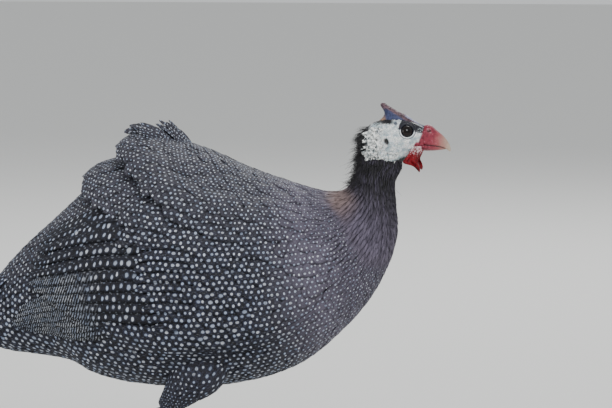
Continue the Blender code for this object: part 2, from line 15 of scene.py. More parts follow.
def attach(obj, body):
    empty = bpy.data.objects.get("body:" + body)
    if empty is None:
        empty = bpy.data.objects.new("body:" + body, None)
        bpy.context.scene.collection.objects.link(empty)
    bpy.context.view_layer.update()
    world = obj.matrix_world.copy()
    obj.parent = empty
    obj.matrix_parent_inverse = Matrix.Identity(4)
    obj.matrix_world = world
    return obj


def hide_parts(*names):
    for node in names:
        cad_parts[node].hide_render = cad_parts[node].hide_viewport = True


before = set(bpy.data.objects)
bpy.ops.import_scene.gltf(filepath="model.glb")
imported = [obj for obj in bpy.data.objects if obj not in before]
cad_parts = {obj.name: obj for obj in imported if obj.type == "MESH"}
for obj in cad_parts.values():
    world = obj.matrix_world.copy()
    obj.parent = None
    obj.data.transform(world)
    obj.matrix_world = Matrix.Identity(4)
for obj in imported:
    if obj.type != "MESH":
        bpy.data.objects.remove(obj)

bl_info = {
    "name": "Guinea fowl",
    "version": (1, 0, 0),
    "blender": (4, 5, 0),
    "location": "3D View > Sidebar > Guinea fowl",
    "description": "Dresses the guinea fowl in skin, feathers and horn, and sets its stage",
    "category": "Object",
}

MM = 0.001
MIDDLE_OF_LENGTH = -6.7
RIGHT, LEFT = -1, 1
SIDE_NAMES = {RIGHT: "right", LEFT: "left"}
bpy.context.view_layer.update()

# The trunk from the tail's end to the head: back point x and z, belly point x and z, half width.
TRUNK = (
    (-190, 150, -172, 131, 13),
    (-176, 173, -156, 127, 23),
    (-159, 196, -131, 124, 31),
    (-139, 217, -105, 120, 42),
    (-116, 238, -84, 110, 57),
    (-90, 262, -60, 104, 67),
    (-60, 285, -32, 101, 75),
    (-27, 300, -2, 101, 79),
    (6, 292.5, 28, 104, 78),
    (35, 280, 58, 111, 74),
    (61, 270.5, 88, 125, 67),
    (83, 263.5, 115, 148, 58),
    (99, 259.5, 137, 174, 47),
    (110, 259.5, 151.5, 201, 37),
    (118, 262.5, 158.5, 226, 27),
    (123, 269.5, 157.5, 248, 19.5),
    (126, 279.5, 156.5, 267, 16),
    (126.5, 290, 162, 279, 15),
    (131, 302, 160, 292, 12),
)
LOW_WIDTH = 0.1
NECK_BASE, NECK_TOP, BODY_END = 11.7, 17.6, 12.3

# The flat pattern that the feathers are laid out on, before it is wrapped round the body.
PER_SECTION, PER_DEGREE = 28.0, 1.45

WING_FRONT, WING_REAR = 12.6, 4.6
WING_LIFT_PLACES = (0, 3.2, 6.6, 7.6, 9.0, 10.4, 11.6, 12.6, 19)
WING_LIFTS = (0, 0, 8.2, 8.8, 7.4, 4.8, 2.6, 0.6, 0)
VANE_STEP, VANE_OVERLAP = 1.05, 0.9

TAIL_ROOT, TAIL_SLOPE = (-146, 196), 49

HEAD = (
    (127.5, 301, 290, 6.5),
    (131, 307.5, 285, 11),
    (137, 313.5, 281, 13.8),
    (145, 317, 279.5, 15),
    (154, 319, 280.5, 15),
    (162, 319, 284, 13.6),
    (169, 317, 288.5, 11),
    (175, 314.6, 291.5, 8.6),
    (179.7, 313, 292.8, 7.2),
)
EYE_AT, EYE_RADIUS, EYE_LOOKS = (166.0, 8.3, 308.3), 5.4, (0.33, 0.89, 0.31)
EAR_AT = (151.0, 14.8, 301.0)


def settings():
    return bpy.context.scene.guinea_fowl


def rows_of(*columns):
    """Columns, each a number or an array, side by side."""
    return np.stack(np.broadcast_arrays(*columns), axis=-1)


def signed(angle):
    """An angle as -180 to 180."""
    return (np.asarray(angle) + 180) % 360 - 180


def tube_grid(first, last, rows, columns):
    """Places along a tube and angles round it, as arrays of rows and columns."""
    along = np.linspace(first, last, rows)[:, None] * np.ones(columns)
    return along, np.linspace(0, 360, columns, endpoint=False) * np.ones((rows, 1))


def smooth_step(low, high, x):
    t = np.clip((np.asarray(x, float) - low) / (high - low), 0, 1)
    return t * t * (3 - 2 * t)


def curve(values, s):
    """A smooth curve through the rows of values, one of them at each whole s. s is a number or an array."""
    values = np.asarray(values, float)
    flat = values.ndim == 1
    values = values[:, None] if flat else values
    last = len(values) - 1
    s = np.clip(np.asarray(s, float), 0, last)
    i = np.minimum(np.floor(s).astype(int), last - 1)
    t = (s - i)[..., None]
    before, a, b, after = (values[np.clip(i + k, 0, last)] for k in (-1, 0, 1, 2))
    bend = 2 * before - 5 * a + 4 * b - after
    made = 0.5 * (2 * a + (b - before) * t + bend * t**2 + (3 * a - before - 3 * b + after) * t**3)
    return made[..., 0] if flat else made


def trunk_base(s, angle):
    """Points of the trunk's surface, which runs on straight past both ends."""
    s, last = np.asarray(s, float), len(TRUNK) - 1
    inside = np.clip(s, 0.1, last - 0.1)
    slope = (curve(TRUNK, inside + 0.1) - curve(TRUNK, inside - 0.1)) / 0.2
    row = curve(TRUNK, inside) + slope * (s - inside)[..., None]
    back_x, back_z, belly_x, belly_z, width = np.moveaxis(row, -1, 0)
    turn = np.radians(angle)
    rise = np.cos(turn) - LOW_WIDTH * np.sin(turn) ** 2
    x = (back_x + belly_x) / 2 + (back_x - belly_x) / 2 * rise
    z = (back_z + belly_z) / 2 + (back_z - belly_z) / 2 * rise
    return rows_of(x, width * np.sin(turn), z)


def trunk(s, angle, height):
    """Points at a height above the trunk's surface."""
    forward = trunk_base(s + 0.05, angle) - trunk_base(s - 0.05, angle)
    round_it = trunk_base(s, angle + 1) - trunk_base(s, angle - 1)
    normal = np.cross(forward, round_it)
    normal /= np.linalg.norm(normal, axis=-1, keepdims=True)
    return trunk_base(s, angle) + normal * np.asarray(height)[..., None]


def along_scale(s, angle):
    """How many millimetres one step of s is."""
    return np.linalg.norm(trunk_base(s + 0.1, angle) - trunk_base(s - 0.1, angle), axis=-1) / 0.2


def round_scale(s, angle):
    """How many millimetres one degree is."""
    return np.linalg.norm(trunk_base(s, angle + 1) - trunk_base(s, angle - 1), axis=-1) / 2


def wing_outline(s):
    share = (WING_FRONT - s) / (WING_FRONT - WING_REAR)
    middle = curve((84, 80, 84, 90, 93), 4 * share)
    half = curve((9, 30, 36, 34, 14), 4 * share)
    return middle - half, middle + half


def wing_lift(s, angle):
    """How far the folded wing raises the feathers that lie over it."""
    upper, lower = wing_outline(np.clip(s, WING_REAR, WING_FRONT))
    side = np.abs(signed(angle))
    inside = smooth_step(upper - 18, upper + 4, side) * (1 - smooth_step(lower - 9, lower + 6, side))
    return inside * np.interp(s, WING_LIFT_PLACES, WING_LIFTS)


def tail_fan(along, sideways, height):
    """The arched fan of the tail. sideways runs from -1 to 1."""
    slope = math.radians(TAIL_SLOPE)
    back = np.array([-math.cos(slope), 0, -math.sin(slope)])
    up = np.array([-math.sin(slope), 0, math.cos(slope)])
    along, sideways, height = (np.asarray(v, float)[..., None] for v in (along, sideways, height))
    half = 15 + 0.16 * along
    drop = 0.42 * half * sideways**2 + 0.0005 * along**2
    normal = up + np.array([0, 0.84, 0]) * sideways
    place = np.array([TAIL_ROOT[0], 0, TAIL_ROOT[1]]) + np.array([0, 1, 0]) * half * sideways
    return place + back * along - up * drop + normal / np.linalg.norm(normal, axis=-1, keepdims=True) * height


class Value:
    """A number in a node tree. Calculating with it adds Math nodes."""

    def __init__(self, tree, socket):
        self.tree, self.socket = tree, socket

    def math(self, operation, *others):
        parts = dict(enumerate((self, *others)))
        return self.tree.node("ShaderNodeMath", {"operation": operation}, parts)[0]

    def __rsub__(self, other):
        return -self + other

    def __neg__(self):
        return self * -1

    def step(self, low, high):
        """From 0 at low to 1 at high, eased."""
        limits = {"Value": self, "From Min": low, "From Max": high}
        return self.tree.node("ShaderNodeMapRange", {"interpolation_type": "SMOOTHSTEP"}, limits)[0]


MATH_METHODS = {
    "__add__": "ADD",
    "__radd__": "ADD",
    "__sub__": "SUBTRACT",
    "__mul__": "MULTIPLY",
    "__rmul__": "MULTIPLY",
    "__truediv__": "DIVIDE",
    "floor": "FLOOR",
    "fraction": "FRACT",
    "absolute": "ABSOLUTE",
    "most": "MAXIMUM",
}


def math_method(operation):
    return lambda value, *others: value.math(operation, *others)


for method, operation in MATH_METHODS.items():
    setattr(Value, method, math_method(operation))


class Tree:
    """A node tree that is filled through one method."""

    def __init__(self, tree):
        self.tree = tree

    def node(self, kind, settings=None, inputs=None):
        made = self.tree.nodes.new(kind)
        for name, value in (settings or {}).items():
            if name == "ramp":
                self.fill_ramp(made.color_ramp, value)
            else:
                setattr(made, name, value)
        for name, value in (inputs or {}).items():
            self.feed(made.inputs[name], value)
        return [Value(self, socket) for socket in made.outputs if socket.enabled]

    def feed(self, socket, value):
        if isinstance(value, Value):
            self.tree.links.new(value.socket, socket)
        else:
            socket.default_value = value

    def fill_ramp(self, ramp, stops):
        while len(ramp.elements) < len(stops):
            ramp.elements.new(0.5)
        for element, (place, colour) in zip(ramp.elements, stops):
            element.position, element.color = place, (*colour, 1)

    def mix(self, factor, a, b):
        """A colour between a and b."""
        ends = [v if isinstance(v, Value) else (*v, 1) for v in (a, b)]
        inputs = {0: factor, 6: ends[0], 7: ends[1]}
        return self.node("ShaderNodeMix", {"data_type": "RGBA"}, inputs)[0]

    def place(self, centre=(0, 0, 0), scale=(1, 1, 1)):
        """Object coordinates in millimetres from a centre."""
        coords = self.node("ShaderNodeTexCoord")[3]
        moved = {0: coords, 1: (1000, 1000, 1000)}
        in_mm = self.node("ShaderNodeVectorMath", {"operation": "MULTIPLY"}, moved)[0]
        centre = (centre[0] - MIDDLE_OF_LENGTH, centre[1], centre[2])
        from_it = self.node("ShaderNodeVectorMath", {"operation": "SUBTRACT"}, {0: in_mm, 1: centre})[0]
        return self.node("ShaderNodeVectorMath", {"operation": "MULTIPLY"}, {0: from_it, 1: scale})[0]

    def split(self, vector):
        return self.node("ShaderNodeSeparateXYZ", None, {0: vector})

    def join(self, x, y, z=0.0):
        return self.node("ShaderNodeCombineXYZ", None, {0: x, 1: y, 2: z})[0]

    def length(self, vector):
        return self.node("ShaderNodeVectorMath", {"operation": "LENGTH"}, {0: vector})[0]

    def attribute(self, name):
        """The three numbers of a vector attribute."""
        return self.split(self.node("ShaderNodeAttribute", {"attribute_name": name})[1])

    def noise(self, vector, scale, detail=3.0, rough=0.55, distortion=0.0):
        grain = {"Detail": detail, "Roughness": rough, "Distortion": distortion}
        return self.node("ShaderNodeTexNoise", None, {"Vector": vector, "Scale": scale, **grain})[0]

    def bump(self, height, distance, strength):
        """A normal from a height in millimetres times distance."""
        inputs = {"Height": height, "Distance": distance * MM, "Strength": strength}
        return self.node("ShaderNodeBump", None, inputs)[0]

    def over(self, colour, *layers):
        """A colour with layers over it, each a factor and its colour."""
        for factor, layer in layers:
            colour = self.mix(factor, colour, layer)
        return colour


SKIN_DEPTH = 0.002
# Black for the black skin and for painted shade in the gaps under the flakes, and white for the bare skin.
BLACK_SKIN_AND_SHADE, WHITE_SKIN = (0.009, 0.009, 0.011), (1.0, 1.0, 0.97)


def shader(name, roughness, **fixed):
    """A new material: its tree, and a function that feeds its surface."""
    material = bpy.data.materials.new(name)
    material.use_nodes = True
    surface = material.node_tree.nodes["Principled BSDF"]
    surface.inputs["Roughness"].default_value = roughness
    for socket, value in fixed.items():
        surface.inputs[socket.replace("_", " ")].default_value = value
    tree = Tree(material.node_tree)

    def feed(**links):
        for socket, value in links.items():
            tree.feed(surface.inputs[socket.replace("_", " ")], value)

    return material, tree, feed


def plumage_material():
    """Spotted feathers.

    The attribute lattice holds a place in the grid of spots, tone the spots' size, the net between them and
    how plain the feather is, shade how black, streaked and pink it is, and vane a place on the feather.
    """
    look = settings()
    material, tree, feed = shader("spotted_feather", 0.62, Specular_IOR_Level=0.18)
    p, q, _ = tree.attribute("lattice")
    size, net, plain = tree.attribute("tone")
    black, streak, pink = tree.attribute("shade")
    across, along, number = tree.attribute("vane")

    row = q.floor()
    shifted = p + (row * 0.5).fraction()
    column = shifted.floor()
    cell = tree.join(column, row, 0.5)
    chance = tree.split(tree.node("ShaderNodeTexWhiteNoise", {"noise_dimensions": "3D"}, {"Vector": cell})[1])
    position = tree.place()
    speckle = tree.noise(position, 0.9, 2.0, 0.7)
    waver = tree.noise(position, 0.45, 1.0)
    blotch = tree.noise(position, 0.05, 2.0)
    off_x = shifted - column - 0.5 - (chance[0] - 0.5) * 0.46
    off_y = q - row - 0.5 - (chance[1] - 0.5) * (0.42 - streak * 0.2 - pink * 0.2)
    far = tree.length(tree.join(off_x * (chance[2] * 0.6 + 0.75), off_y)) + (waver - 0.5) * 0.22
    radius = size * (chance[1] * 0.07 + 0.18)
    spot = 1 - far.step(radius - 0.08, radius + 0.06)
    halo = 1 - far.step(radius, radius + 0.3)
    corner_x, corner_y = off_x.absolute() - 0.5, off_y.absolute() - 0.5
    between = 1 - tree.length(tree.join(corner_x * 0.8, corner_y * 1.6)).step(0.05, 0.2)

    lines = ((p * 2.1 + q * 0.9 + (speckle - 0.5) * 0.5).fraction() - 0.5).absolute()
    dashes = 1 - lines.step(0.1, 0.24)
    dashes = dashes * tree.noise(tree.join(p * 2.6, q * 2.5), 1.0, 1.0).step(0.36, 0.5)

    grey = tree.mix(speckle.step(0.3, 0.7) * (1 - halo * 0.8), look.net_dark, look.net_light)
    ground = tree.mix(net * (blotch * 0.4 + 0.8), look.ground, grey)
    haze = (speckle + waver * 0.6).step(0.72, 1.05) * 0.5 + halo * 0.45
    ground = tree.mix(haze * (1 - net) * (1 - streak) * (1 - pink), ground, look.haze)
    bright = chance[2] * 0.4 + 0.6
    mark = spot * bright * (1 - streak) + dashes * streak * 0.62 + between * pink * (1 - spot) * 0.4
    white = tree.mix(chance[0], look.spot_white, look.spot_blue)
    ground = tree.mix(plain.step(0, 0.34) * 0.45, ground, look.neck_light)
    bare = plain.step(0.34, 1.0)
    spotted = tree.mix(mark * (1 - bare), ground, white)

    barbs = ((along + across.absolute() * 0.8) * 2.4 + (speckle - 0.5) * 0.9).fraction()
    barbs = (barbs - 0.5).absolute() * 2
    strand = number.fraction()
    soft = tree.mix(tree.noise(position, 0.12, 3.0) * 0.5 + strand * 0.5, look.neck_dark, look.neck_light)
    soft = tree.mix(pink * bare, soft, look.neck_pink)
    soft = tree.mix(black, soft, tree.mix(strand * strand, look.neck_black, look.neck_dark))
    colour = tree.mix(bare, spotted, soft)
    colour = tree.mix((1 - strand) * 0.16, colour, (0.004, 0.004, 0.005))
    feed(Base_Color=colour, Roughness=barbs * 0.14 + 0.6 + spot * 0.08, Normal=tree.bump(barbs, 0.08, 0.4))
    return material


def down_material():
    material, tree, feed = shader("dark_down", 0.9)
    fluff = tree.noise(tree.place(), 1.6, 4.0, 0.7)
    colour = tree.mix(fluff, (0.012, 0.012, 0.015), (0.045, 0.043, 0.05))
    feed(Base_Color=colour, Normal=tree.bump(fluff, 0.8, 0.8))
    return material


def face_material():
    """Bare wrinkled skin: bluish white, black round the eye, with a red gape, and painted shade in its
    creases, hollows, ear opening and the gaps under the flakes.
    """
    inside = {"Subsurface_Weight": 0.06, "Subsurface_Scale": SKIN_DEPTH}
    material, tree, feed = shader("bare_face", 0.55, Specular_IOR_Level=0.35, **inside)
    position = tree.place()
    ripple = tree.noise(position, 0.22, 4.0, 0.6)
    fine = tree.noise(position, 0.8, 5.0, 0.65, 0.8)
    crease = (fine - 0.5).absolute() * 2
    edge = (fine - 0.5) * 2.2 + (ripple - 0.5) * 2.0
    # The skin's own bluish white is made whitest on the raised lumps and greyer in the hollows between them,
    # as painted highlight and painted shade.
    skin = tree.mix(ripple.step(0.38, 0.58), (0.44, 0.53, 0.57), WHITE_SKIN)
    # Painted shade: the creases are darkened towards blue-grey.
    skin = tree.mix((1 - crease.step(0.0, 0.2)) * 0.75, skin, (0.22, 0.28, 0.31))

    x, _, z = tree.split(tree.place((EYE_AT[0] + 1.3, 0, EYE_AT[2] + 1.2)))
    far = tree.length(tree.join(x, z))
    disc = 1 - (far + edge * 0.15).step(5.0, 5.4)
    along, off = x * 0.951 - z * 0.308, x * 0.308 + z * 0.951 - 3.4
    band = 1 - (off.absolute() / (3.9 - along * 0.15) + edge * 0.12).step(0.85, 1.0)
    band = band * (along + edge).step(-8.0, -7.0) * (1 - along.step(12.8, 13.8))
    fleck = fine.step(0.56, 0.6) * along.step(6, 8) * (1 - off.step(1.0, 2.0))
    dark = disc.most(band * (1 - fleck * 0.8))
    below = 1 - (z + x * 0.1).step(-1.5, 1.5)
    rim = far.step(5.9, 6.05) * (1 - far.step(6.5, 6.8)) * below
    white_rim = far.step(5.05, 5.2) * (1 - far.step(5.7, 5.95)) * below
    slate = (z - 8.2 + edge * 0.4 + x.most(0.0) * 0.5).step(-0.6, 0.6) * x.step(-6, -3)

    ear_x, _, ear_z = tree.split(tree.place((EAR_AT[0], 0, EAR_AT[2])))
    ear = tree.length(tree.join(ear_x + ear_z * 0.35, ear_z * 0.72)) + (fine - 0.5) * 0.8
    spot = tree.length(tree.join(x + 9.6, (z - 5.6) * 1.2)) + (fine - 0.5)

    back_x, _, height = tree.split(tree.place((149, 0, 0)))
    rear_top = (height - 314.6 + edge * 1.3).step(-1.0, 1.0) * (1 - back_x.step(4, 9))
    # Painted shade: black flecks at the rear of the cheek stand for the dark gaps beneath the loose flakes.
    gap_shade = tree.noise(position, 0.5, 3.0, 0.6).step(0.49, 0.54) * (1 - back_x.step(-6, -1))
    throat = 1 - (height - 284.2 - back_x * back_x * 0.018 + edge * 1.2).step(-0.8, 0.8)
    nape = 1 - (back_x + 13.5 + edge * 1.6 - (height - 300) * 0.1).step(-1.2, 1.2)
    black = throat.most(nape).most(rear_top).most(gap_shade * 0.85)
    slope = (height - 297).most(0.0) * 0.4
    red = (back_x - 25.4 - slope + edge * 0.5).step(-0.9, 0.9) * (1 - (height - 310.5).step(0, 2))
    gape = 1 - tree.length(tree.join(back_x - 26.2, (height - 296.5) * 0.8)).step(2.4, 3.8)
    raw = tree.mix(ripple, (0.25, 0.016, 0.04), (0.44, 0.075, 0.105))
    raw = tree.mix(fine.step(0.38, 0.62), (0.09, 0.004, 0.015), raw)
    colour = tree.over(
        skin,
        (dark, (0.008, 0.009, 0.016)),
        (rim * 0.8, (0.04, 0.055, 0.08)),
        (white_rim, (0.75, 0.80, 0.82)),
        (slate, (0.035, 0.038, 0.075)),
        # Painted shade: the ear opening is darkened to near black in its hollow.
        ((1 - ear.step(1.3, 2.5)) * 0.94, (0.03, 0.028, 0.03)),
        ((1 - spot.step(0.9, 1.9)) * 0.85, (0.02, 0.025, 0.05)),
        (black, BLACK_SKIN_AND_SHADE),
        (red.most(gape), raw),
    )
    relief = tree.bump(crease + ripple * 2, 0.4, 0.8)
    feed(Base_Color=colour, Roughness=ripple * 0.2 + 0.42, Normal=relief)
    return material


def flake_material():
    material, tree, feed = shader("loose_skin", 0.6, Specular_IOR_Level=0.25)
    soft = tree.noise(tree.place(), 0.45, 4.0, 0.7)
    colour = tree.mix(soft.step(0.34, 0.58), (0.20, 0.25, 0.27), WHITE_SKIN)
    feed(Base_Color=colour, Normal=tree.bump(soft, 0.3, 0.6))
    return material


def casque_material():
    """Horn: slate blue on the flanks, brownish pink along the ridge and pale at the rear foot, with a painted
    blue sheen along the front of the crest.
    """
    material, tree, feed = shader("rough_horn", 0.45, Specular_IOR_Level=0.4)
    grain = tree.noise(tree.place(scale=(1, 1, 0.45)), 0.9, 4.0, 0.65)
    start_x, _, start_z = tree.split(tree.place((146, 0, 330)))
    front = start_z + start_x * 0.56 - 1.4
    ridge = (front + (grain - 0.5) * 2.4 + start_x * 0.05).step(-3.4, -1.6)
    ridge = ridge.most(start_z.step(-5.5, -2.5) * 0.9)
    rear = 1 - (start_x + start_z * 0.14 + (grain - 0.5) * 3).step(0.2, 3.0)
    # Painted highlight: a pale blue sheen along the front of the crest towards the bill.
    painted_sheen = (front + (grain - 0.5) * 1.5).step(-1.4, -0.4) * start_x.step(17, 21)
    colour = tree.mix(grain.step(0.25, 0.75), (0.012, 0.016, 0.047), (0.046, 0.059, 0.155))
    pink = tree.mix(grain.step(0.36, 0.7), (0.024, 0.009, 0.016), (0.185, 0.10, 0.12))
    foot = rear * (1 - (start_z + 12).step(-1, 5)), (0.27, 0.155, 0.10)
    colour = tree.over(colour, (ridge, pink), foot, (painted_sheen * 0.65, (0.38, 0.42, 0.60)))
    feed(Base_Color=colour, Roughness=grain * 0.25 + 0.35, Normal=tree.bump(grain, 0.7, 0.8))
    return material


def bill_material():
    """Red at the base round the nostril, pink along the sides and ivory at the tip, with painted shadow in
    the nostril and painted light in the cere's mottle.
    """
    material, tree, feed = shader("smooth_horn", 0.38, Specular_IOR_Level=0.45, Coat_Weight=0.1)
    x, _, z = tree.split(tree.place((180, 0, 300)))
    grain = tree.noise(tree.place(scale=(0.35, 1, 1)), 0.9, 4.0)
    soft = tree.noise(tree.place(), 0.35, 3.0)
    along = x + (soft - 0.5) * 5 - (z - 4).step(0, 6) * 2.5
    stops = (
        (0.0, (0.20, 0.008, 0.026)),
        (0.3, (0.245, 0.017, 0.038)),
        (0.52, (0.31, 0.062, 0.070)),
        (0.74, (0.36, 0.19, 0.155)),
        (1.0, (0.46, 0.39, 0.30)),
    )
    ramp = tree.node("ShaderNodeValToRGB", {"ramp": stops}, {"Fac": along / 21})[0]
    colour = tree.mix((grain - 0.5).absolute() * 0.9, ramp, (0.20, 0.05, 0.05))
    # The cere's mottle is partly its own colour and partly painted light: dark red in the low folds as
    # painted shade and pale pink on the raised spots as painted highlight.
    mottle = tree.noise(tree.place(), 0.55, 4.0, 0.7)
    base = 1 - along.step(7, 13)
    colour = tree.mix((1 - mottle.step(0.36, 0.5)) * base * 0.7, colour, (0.10, 0.004, 0.018))
    colour = tree.mix(mottle.step(0.56, 0.68) * base * 0.55, colour, (0.62, 0.26, 0.32))
    # Painted shadow: the hollow of the nostril is darkened to almost black red.
    hole = tree.length(tree.join((x - 4.0) * 0.5 + (z - 9.0) * 0.3, (z - 9.0) * 0.95 - (x - 4.0) * 0.3))
    colour = tree.mix((1 - hole.step(0.6, 1.3)) * 0.92, colour, (0.05, 0.004, 0.008))
    feed(Base_Color=colour, Roughness=grain * 0.2 + 0.3, Normal=tree.bump(grain + mottle * base, 0.3, 0.6))
    return material


def wattle_material():
    """Bright red wet-looking skin, white at its root."""
    inside = {"Subsurface_Weight": 0.1, "Subsurface_Scale": SKIN_DEPTH}
    material, tree, feed = shader("red_wattle", 0.4, Specular_IOR_Level=0.2, **inside)
    position = tree.place()
    pebble = tree.node("ShaderNodeTexVoronoi", {"feature": "F1"}, {"Vector": position, "Scale": 1.1})[0]
    soft = tree.noise(position, 0.3, 4.0)
    _, _, height = tree.split(position)
    mottle = tree.noise(position, 0.75, 3.0, 0.75)
    pale = (height + (mottle - 0.5) * 34).step(292.0, 296.5)
    colour = tree.mix(soft.step(0.3, 0.7), (0.07, 0.001, 0.004), (0.225, 0.003, 0.008))
    colour = tree.mix(pale * 0.85, colour, (0.68, 0.53, 0.55))
    feed(Base_Color=colour, Roughness=soft * 0.25 + 0.28, Normal=tree.bump(1 - pebble, 0.4, 0.6))
    return material


def eye_material():
    material, tree, feed = shader("dark_eye", 0.09, Specular_IOR_Level=0.25)
    centre = np.array(EYE_AT) + np.array(EYE_LOOKS) * EYE_RADIUS
    x, y, z = tree.split(tree.place((centre[0], 0, centre[2])))
    out = y.absolute() - centre[1]
    far = tree.length(tree.join(x, z, out))
    iris = tree.mix(tree.noise(tree.place(), 1.2, 3.0), (0.003, 0.002, 0.002), (0.009, 0.005, 0.004))
    colour = tree.mix(far.step(1.9, 2.2), (0.002, 0.002, 0.002), iris)
    colour = tree.mix(far.step(4.1, 4.7), colour, (0.01, 0.01, 0.012))
    feed(Base_Color=colour)
    return material


def leg_material():
    """Scaly skin. The attribute relief holds how high a scale stands there."""
    material, tree, feed = shader("scaly_leg", 0.5, Specular_IOR_Level=0.35)
    position = tree.place()
    height, front, _ = tree.attribute("relief")
    soft = tree.noise(position, 0.12, 3.0)
    fine = tree.noise(position, 1.4, 3.0)
    colour = tree.mix(soft, (0.030, 0.026, 0.026), (0.085, 0.068, 0.058))
    colour = tree.mix(front * soft.step(0.4, 0.62) * 0.7, colour, (0.17, 0.12, 0.08))
    colour = tree.mix((1 - height.step(0.05, 0.35)) * 0.75, colour, (0.010, 0.009, 0.010))
    feed(Base_Color=colour, Roughness=0.6 - height * 0.18, Normal=tree.bump(fine, 0.12, 0.5))
    return material


def claw_material():
    material, tree, feed = shader("dark_claw", 0.35, Specular_IOR_Level=0.5)
    grain = tree.noise(tree.place(), 0.7, 4.0)
    colour = tree.mix(grain, (0.02, 0.018, 0.017), (0.085, 0.07, 0.06))
    feed(Base_Color=colour, Normal=tree.bump(grain, 0.2, 0.4))
    return material


def new_mesh(name, points, faces, edges=()):
    """A mesh from points in the bird's millimetres."""
    mesh = bpy.data.meshes.new(name)
    places = (np.asarray(points, float).reshape(-1, 3) - (MIDDLE_OF_LENGTH, 0, 0)) * MM
    mesh.from_pydata(places.tolist(), edges, faces)
    return mesh


def link(made):
    bpy.context.scene.collection.objects.link(made)
    return made


def piece(name, mesh, material, slot, *nodes):
    """A finished piece that rides on the bird, in the place of the nodes."""
    made = link(bpy.data.objects.new(name, mesh))
    mesh.materials.clear()
    mesh.materials.append(material)
    mesh.shade_smooth()
    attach(made, "root")
    if nodes:
        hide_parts(*nodes)
    return made


def grid_faces(rows, columns):
    """Quads between closed rings of like count."""
    faces = []
    for i in range(rows - 1):
        for j in range(columns):
            a, b = i * columns + j, i * columns + (j + 1) % columns
            faces.append((a, b, b + columns, a + columns))
    return faces


def loft_parts(rings):
    """The points and faces of rings joined to a closed shell with a point at each end."""
    rings = np.asarray(rings, float)
    rows, columns = rings.shape[:2]
    points = list(rings.reshape(-1, 3)) + [rings[0].mean(axis=0), rings[-1].mean(axis=0)]
    faces = grid_faces(rows, columns)
    first, last = rows * columns, rows * columns + 1
    for j in range(columns):
        faces.append(((j + 1) % columns, j, first))
        faces.append(((rows - 1) * columns + j, (rows - 1) * columns + (j + 1) % columns, last))
    return points, faces


def closed_loft(name, *shells):
    """A mesh of one or more lofted shells, facing out."""
    points, faces = [], []
    for rings in shells:
        more, rows = loft_parts(rings)
        faces += [tuple(corner + len(points) for corner in face) for face in rows]
        points += more
    mesh = new_mesh(name, points, faces)
    face_out(mesh)
    return mesh


def face_out(mesh):
    """Turns a closed mesh right side out."""
    work = bmesh.new()
    work.from_mesh(mesh)
    bmesh.ops.recalc_face_normals(work, faces=work.faces)
    if work.calc_volume(signed=True) < 0:
        bmesh.ops.reverse_faces(work, faces=work.faces)
    work.to_mesh(mesh)
    work.free()


FRACTAL = 0.6, 2.0, 3  # how fast detail fades, how much finer each octave is, and their number


def roughness_of(point, scale, seed):
    """Noise from -1 to 1 at a point in millimetres."""
    return noise.fractal(Vector(point) * scale + Vector((seed, 0, 0)), *FRACTAL)


# Feathers: a template is laid on a flat pattern by Geometry Nodes and then wrapped round the body.

CONTOUR_SHAPE = ((0, 0.45), (0.18, 0.82), (0.42, 1.0), (0.66, 0.98), (0.85, 0.8), (0.95, 0.52), (1.0, 0.14))
CONTOUR_SECTION = ((-1, 0), (-0.5, 0.16), (0, 0.22), (0.5, 0.16), (1, 0), (0, -0.08))
PLUME_SHAPE = ((0, 0.7), (0.35, 1.0), (0.75, 0.75), (1.0, 0.1))
PLUME_SECTION = ((-1, 0), (0, 0.3), (1, 0), (0, -0.15))
FLIGHT_PLACES = (0, 0.08, 0.16, 0.25, 0.34, 0.43, 0.52, 0.61, 0.7, 0.78, 0.85, 0.91, 0.95, 0.98, 1.0)
FLIGHT_WIDTHS = (0.5, 0.66, 0.78, 0.86, 0.92, 0.96, 0.99, 1.0, 0.99, 0.95, 0.87, 0.75, 0.6, 0.42, 0.12)
FLIGHT_SHAPE = tuple(zip(FLIGHT_PLACES, FLIGHT_WIDTHS))
FLIGHT_ACROSS = (-1, -0.6, -0.12, -0.04, 0.04, 0.12, 0.6, 1, 0)
FLIGHT_HEIGHTS = (0, 0.22, 0.24, 0.75, 0.75, 0.24, 0.22, 0, -0.25)
FLIGHT_SECTION = tuple(zip(FLIGHT_ACROSS, FLIGHT_HEIGHTS))
TIP_THINNING = 0.6


def feather_template(name, shape, section):
    """A closed vane of length 1 along -X and half width 1 along Y, with its thickness in millimetres."""
    points, places = [], []
    for v, wide in shape:
        thin = 1 - TIP_THINNING * v
        for u, high in section:
            points.append((-v, u * wide, high * thin))
            places.append((u * wide, v, u))
    count = len(section)
    faces = grid_faces(len(shape), count)
    faces.append(tuple(range(count)))
    faces.append(tuple(range(len(points) - 1, len(points) - count - 1, -1)))
    mesh = bpy.data.meshes.new(name)
    mesh.from_pydata(points, [], faces)
    face_out(mesh)
    write_attribute(mesh, "vane", places)
    return bpy.data.objects.new(name, mesh)


def run_nodes(name, mesh, fill, material, kinds, values):
    """What Geometry Nodes make of a mesh. kinds are their further inputs' types, and fill adds the nodes."""
    group = bpy.data.node_groups.new(name, "GeometryNodeTree")
    for title, kind in {"Mesh": "Geometry", **kinds}.items():
        group.interface.new_socket(title, in_out="INPUT", socket_type="NodeSocket" + kind)
    group.interface.new_socket("Made", in_out="OUTPUT", socket_type="NodeSocketGeometry")
    tree = Tree(group)
    made = fill(tree, *tree.node("NodeGroupInput")[:-1])
    made = tree.node("GeometryNodeRealizeInstances", None, {0: made})[0]
    made = tree.node("GeometryNodeSetMaterial", None, {"Geometry": made, "Material": material})[0]
    tree.node("NodeGroupOutput", None, {0: made})
    carrier = link(bpy.data.objects.new(name, mesh))
    step = carrier.modifiers.new(name, "NODES")
    step.node_group = group
    for item in group.interface.items_tree:
        if item.name in values:
            step[item.identifier] = values[item.name]
    graph = bpy.context.evaluated_depsgraph_get()
    result = bpy.data.meshes.new_from_object(carrier.evaluated_get(graph), depsgraph=graph)
    carrier.modifiers.remove(step)
    bpy.data.objects.remove(carrier)
    bpy.data.node_groups.remove(group)
    return result


